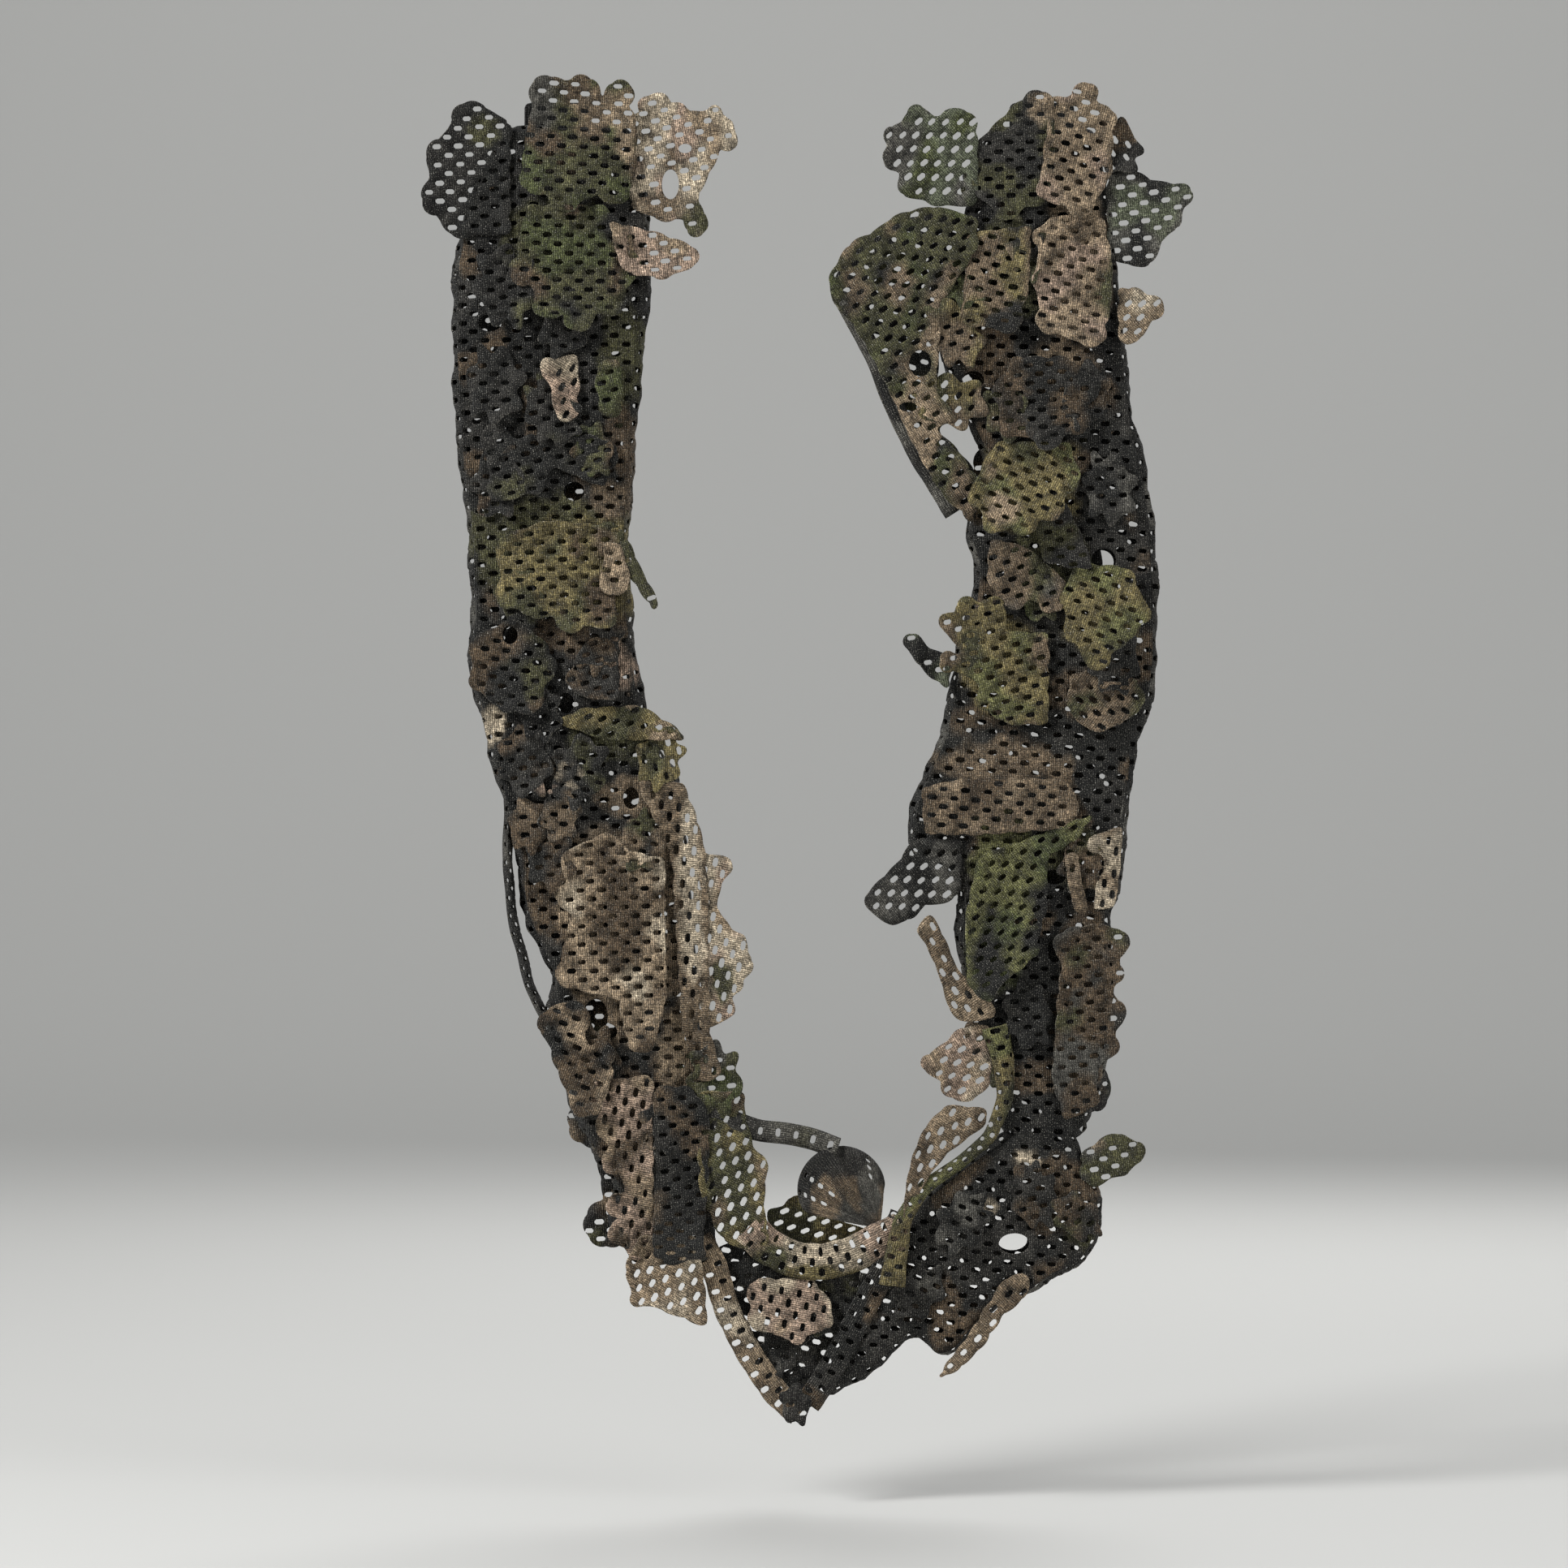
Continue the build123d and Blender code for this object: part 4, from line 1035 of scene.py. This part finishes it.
def twist_place(flat, length):
    """A roll, open behind, that narrows in its middle and comes forward over the pale band."""
    down = -flat[:, 1] / length
    turn = flat[:, 0] / 13.0 * 3.5 + 0.5 * np.sin(down * 5.0)
    radius = 4.5 - 2.5 * np.sin(np.pi * down)
    radius *= 1 + ridges(flat, 1.4, 0.09) + 0.08 * crumple(flat, 6, 10, 4)
    return radius * np.sin(turn), -8.6 - 5.6 * ease((down - 0.55) / 0.25) - radius * 0.85 * np.cos(turn)


twist = sorted(spine(outlines("chin_twisted_strip")[0][0]).tolist(), key=lambda spot: -spot[1])
twist += [(36.5, -388), (35, -397), (34, -405)]  # on down over the pale band's end
make_strips("chin_twisted_strip_cloth",
            [strip(twist, 13.0, twist_place, "gold lime olive", 11, grid=(0.7, 2.4))], ["chin_twisted_strip"])

# The loop: a fan of cloth that rises from its gather, with a deep fold down it
low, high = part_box("chin_loop")
GATHER = np.array([high.x / MM - 1.5, low.z / MM + 0.5])
LOOP_W, LOOP_H = 40.0, 50.0


def loop_place(flat):
    around = flat[:, 0] / LOOP_W + 0.5
    up = -flat[:, 1] / LOOP_H
    angle = math.radians(168) - math.radians(84) * around
    reach = 26.5 - 10.0 * around + 14.0 * np.sin(np.pi * np.clip(around, 0, 1)) ** 0.7
    rise = np.sin(np.clip(up * 1.95, 0, 2.2)) ** 0.9
    r = reach * (0.05 + 0.95 * rise)
    valley = np.exp(-((around - 0.60) / 0.075) ** 2) * np.sin(np.pi * np.clip(up * 1.1, 0, 1))
    rib = ridges(flat, 1.9, 0.42) * np.clip(up * 3, 0, 1)
    y = -(8.4 + 17.0 * up * (0.86 - up) + rib - 4.6 * valley + 0.5 * crumple(flat, 9, 18, 3))
    return np.c_[GATHER[0] + r * np.cos(angle), y, GATHER[1] + r * np.sin(angle)]


edge = refine(rectangle(LOOP_W, LOOP_H), step=1.2, soften=2)
eye = np.array(HOLE)[:, ::-1] * 0.8
eyes = [eye + (x, z) for x, top in ((-14, 3), (-8.5, 0), (12.5, 2)) for z in np.arange(-37 + top, -14, 5.4)]
flat, tris, area = weave([edge], eyes, punched=False, grid=(0.95, 2.2))
points = loop_place(flat)
colour = printed(points[:, [0, 2]], "soot grey bark charcoal",
                 [(10, -374, 6, 8, "bark"), (26, -370, 4, 12, "grey")], seed=4.0)
made = make_object("chin_loop_cloth", [(points, tris, flat, colour)], KNIT)
spread = 0.5 * np.linalg.norm(crossed(points, tris), axis=1).sum()
stand_in(made, ["chin_loop"], "chin")
# The fan doesn't keep its flat cloth's area, so its flat size is worked back from its surface
declare([edge * math.sqrt(spread / area)], spread)

# The chin bands: the pale band, the bridge across the chin's opening, and the leaf behind it
pale_path = [(-19, -384), (-12, -391), (-2, -396), (8, -397), (20, -394), (29, -389), (38, -385)]
bridge_path = [(-34, -341), (-25, -345), (-15, -348.5), (-4, -349.5), (5, -351.5), (14, -355)]
pieces = [strip(pale_path, 13.5, ribbed_band(-8.8, 3.4, 12), "cream pink tan", 12,
                spots=[(2, -402, 26, 4.5, "gold"), (-10, -396, 8, 6, "olive")], lobe=0.5),
          strip(bridge_path, 8.0, ribbed_band(-8.2, 2.0, 13), "grey olive soot", 13)]
inner = sorted([loop for loop, _, _ in outlines("chin_bands")], key=lambda loop: loop[:, 1].mean())[1]
edge = refine(inner, step=1.3, soften=2, lobe=0.8)
flat, tris, area = weave([edge], angle=24, seed=14)
height = np.clip((flat[:, 1] + 391) / 14, 0, 1)
points = np.c_[flat[:, 0], 4.5 - 7.0 * height + 0.8 * crumple(flat, 7, 7, 8), flat[:, 1]]
colour = printed(flat, "olive moss gold", [(18, -384, 8, 3, "gold")], seed=14)
pieces.append(((points, tris, flat, colour), edge, area))
make_strips("chin_bands_cloth", pieces, ["chin_bands"])


# ---- Tabs ------------------------------------------------------------------------------------------

parts, clouds, total = [], [], 0
for k, (loop, _, y) in enumerate(outlines("end_tabs")):
    edge = refine(loop, step=1.0, soften=1)
    flat, tris, area = weave([edge], punched=False, grid=(0.8, 1.0))
    away = gap(flat, edge)
    twill = 0.10 * np.sin(flat[:, 0] * math.pi / 0.8) * np.cos(flat[:, 1] * math.pi) * np.clip(away, 0, 1)
    seam = 0.25 * np.exp(-((away - 2.4) / 0.6) ** 2)
    spots = np.c_[flat[:, 0], y + 0.75 + twill - seam, flat[:, 1]]
    parts.append((spots, tris, flat, printed(flat, "black charcoal", seed=k)))
    clouds.append(edge)
    total += area
made = make_object("end_tab_webbing", parts, RIBBED, thick=1.1)
stand_in(made, ["end_tabs"], "tabs")
declare(clouds, total)

# Hook tape: a moulded base with rows of hooks, each a path that tapers from its root to its tip
HOOK_PITCH = 1.65
BASE = 1.2
HOOK_PATH = [(0.0, 0.0), (0.0, 0.75), (0.18, 1.15), (0.52, 1.25), (0.74, 1.0)]
verts, faces = [], []
for loop, _, y in outlines("hook_patches"):
    ring = refine(loop, step=1.2, soften=1)
    base = len(verts)
    count = len(ring)
    for depth in (y, y + BASE):
        verts += [(x * MM, depth * MM, z * MM) for x, z in ring]
    faces += [tuple(range(base, base + count)), tuple(range(base + 2 * count - 1, base + count - 1, -1))]
    faces += [(base + i, base + count + i, base + count + (i + 1) % count, base + (i + 1) % count)
              for i in range(count)]
    low, high = ring.min(0) + 1.2, ring.max(0) - 1.2
    for row, z in enumerate(np.arange(low[1], high[1], HOOK_PITCH)):
        for x in np.arange(low[0] + (row % 2) * 0.5, high[0] - 0.6, HOOK_PITCH):
            base = len(verts)
            way = 1 if row % 2 else -1
            for step, (reach, up) in enumerate(HOOK_PATH):
                size = 0.24 - 0.035 * step
                for dx, dz in ((-1, -1), (1, -1), (1, 1), (-1, 1)):
                    verts.append(((x + 0.3 + dx * size) * MM, (y + BASE + up) * MM,
                                  (z + way * reach + dz * size) * MM))
            for step in range(len(HOOK_PATH) - 1):
                for i in range(4):
                    a, b = base + step * 4 + i, base + step * 4 + (i + 1) % 4
                    faces.append((a, b, b + 4, a + 4))
            faces += [(base + 3, base + 2, base + 1, base),
                      tuple(base + (len(HOOK_PATH) - 1) * 4 + i for i in range(4))]
mesh = bpy.data.meshes.new("hook_tape")
mesh.from_pydata(verts, [], faces)
stand_in(linked("hook_tape_patches", mesh, hook_material()), ["hook_patches"], "tabs")


# ---- Floor, light and camera -----------------------------------------------------------------------

# Pale paper that lies on the floor and sweeps up to a wall
SWEEP = 2.6
SWEEP_START = 3.2
bend = np.linspace(0, math.pi / 2, 40)
bend = [(SWEEP_START + SWEEP * math.sin(t), SWEEP * (1 - math.cos(t))) for t in bend]
profile = [(-6.0, 0.0)] + bend + [(SWEEP_START + SWEEP, 7.0)]
floor_mesh = bpy.data.meshes.new("floor")
floor_mesh.from_pydata([(x, y, z) for y, z in profile for x in (-8, 8)], [],
                       [(2 * i, 2 * i + 1, 2 * i + 3, 2 * i + 2) for i in range(len(profile) - 1)])
floor_mesh.polygons.foreach_set("use_smooth", [True] * len(floor_mesh.polygons))
paper, shader, _, join = new_material("floor_paper")
join(shader, {"Base Color": (0.50, 0.50, 0.485, 1), "Roughness": 0.85})
floor = linked("floor", floor_mesh, paper)
floor.location.z = low_corner.z - 0.03

world = bpy.data.worlds.new("studio")
world.use_nodes = True
world.node_tree.nodes["Background"].inputs[0].default_value = (0.80, 0.81, 0.82, 1)
world.node_tree.nodes["Background"].inputs[1].default_value = 0.42
bpy.context.scene.world = world


def soft_light(name, place, aim, size, power):
    lamp = bpy.data.lights.new(name, "AREA")
    lamp.size = size
    lamp.energy = power
    made = bpy.data.objects.new(name, lamp)
    made.location = place
    made.rotation_euler = (Vector(aim) - Vector(place)).to_track_quat("-Z", "Y").to_euler()
    bpy.context.scene.collection.objects.link(made)


middle = (Vector(low_corner) + Vector(high_corner)) / 2
soft_light("key_light", (-1.15, -0.95, 0.75), middle, 0.55, 34)
soft_light("side_light", (1.2, -0.9, 0.1), middle, 0.8, 10)
soft_light("rear_light", (0.4, 1.4, 0.7), middle, 1.0, 14)
soft_light("floor_light", (0, 4.2, 2.6), (0, 4.2, low_corner.z), 4.0, 55)

FRAME_WIDTH = 0.5796     # of the picture, at the middle of the mask
DISTANCE = 2.3
camera_data = bpy.data.cameras.new("camera")
camera_data.lens = 36 * DISTANCE / FRAME_WIDTH
camera = bpy.data.objects.new("camera", camera_data)
camera.location = (-0.0057, -DISTANCE, -0.2208)
camera.rotation_euler = (math.pi / 2, 0, 0)
bpy.context.scene.collection.objects.link(camera)
bpy.context.scene.camera = camera
bpy.context.scene.view_settings.view_transform = "Standard"
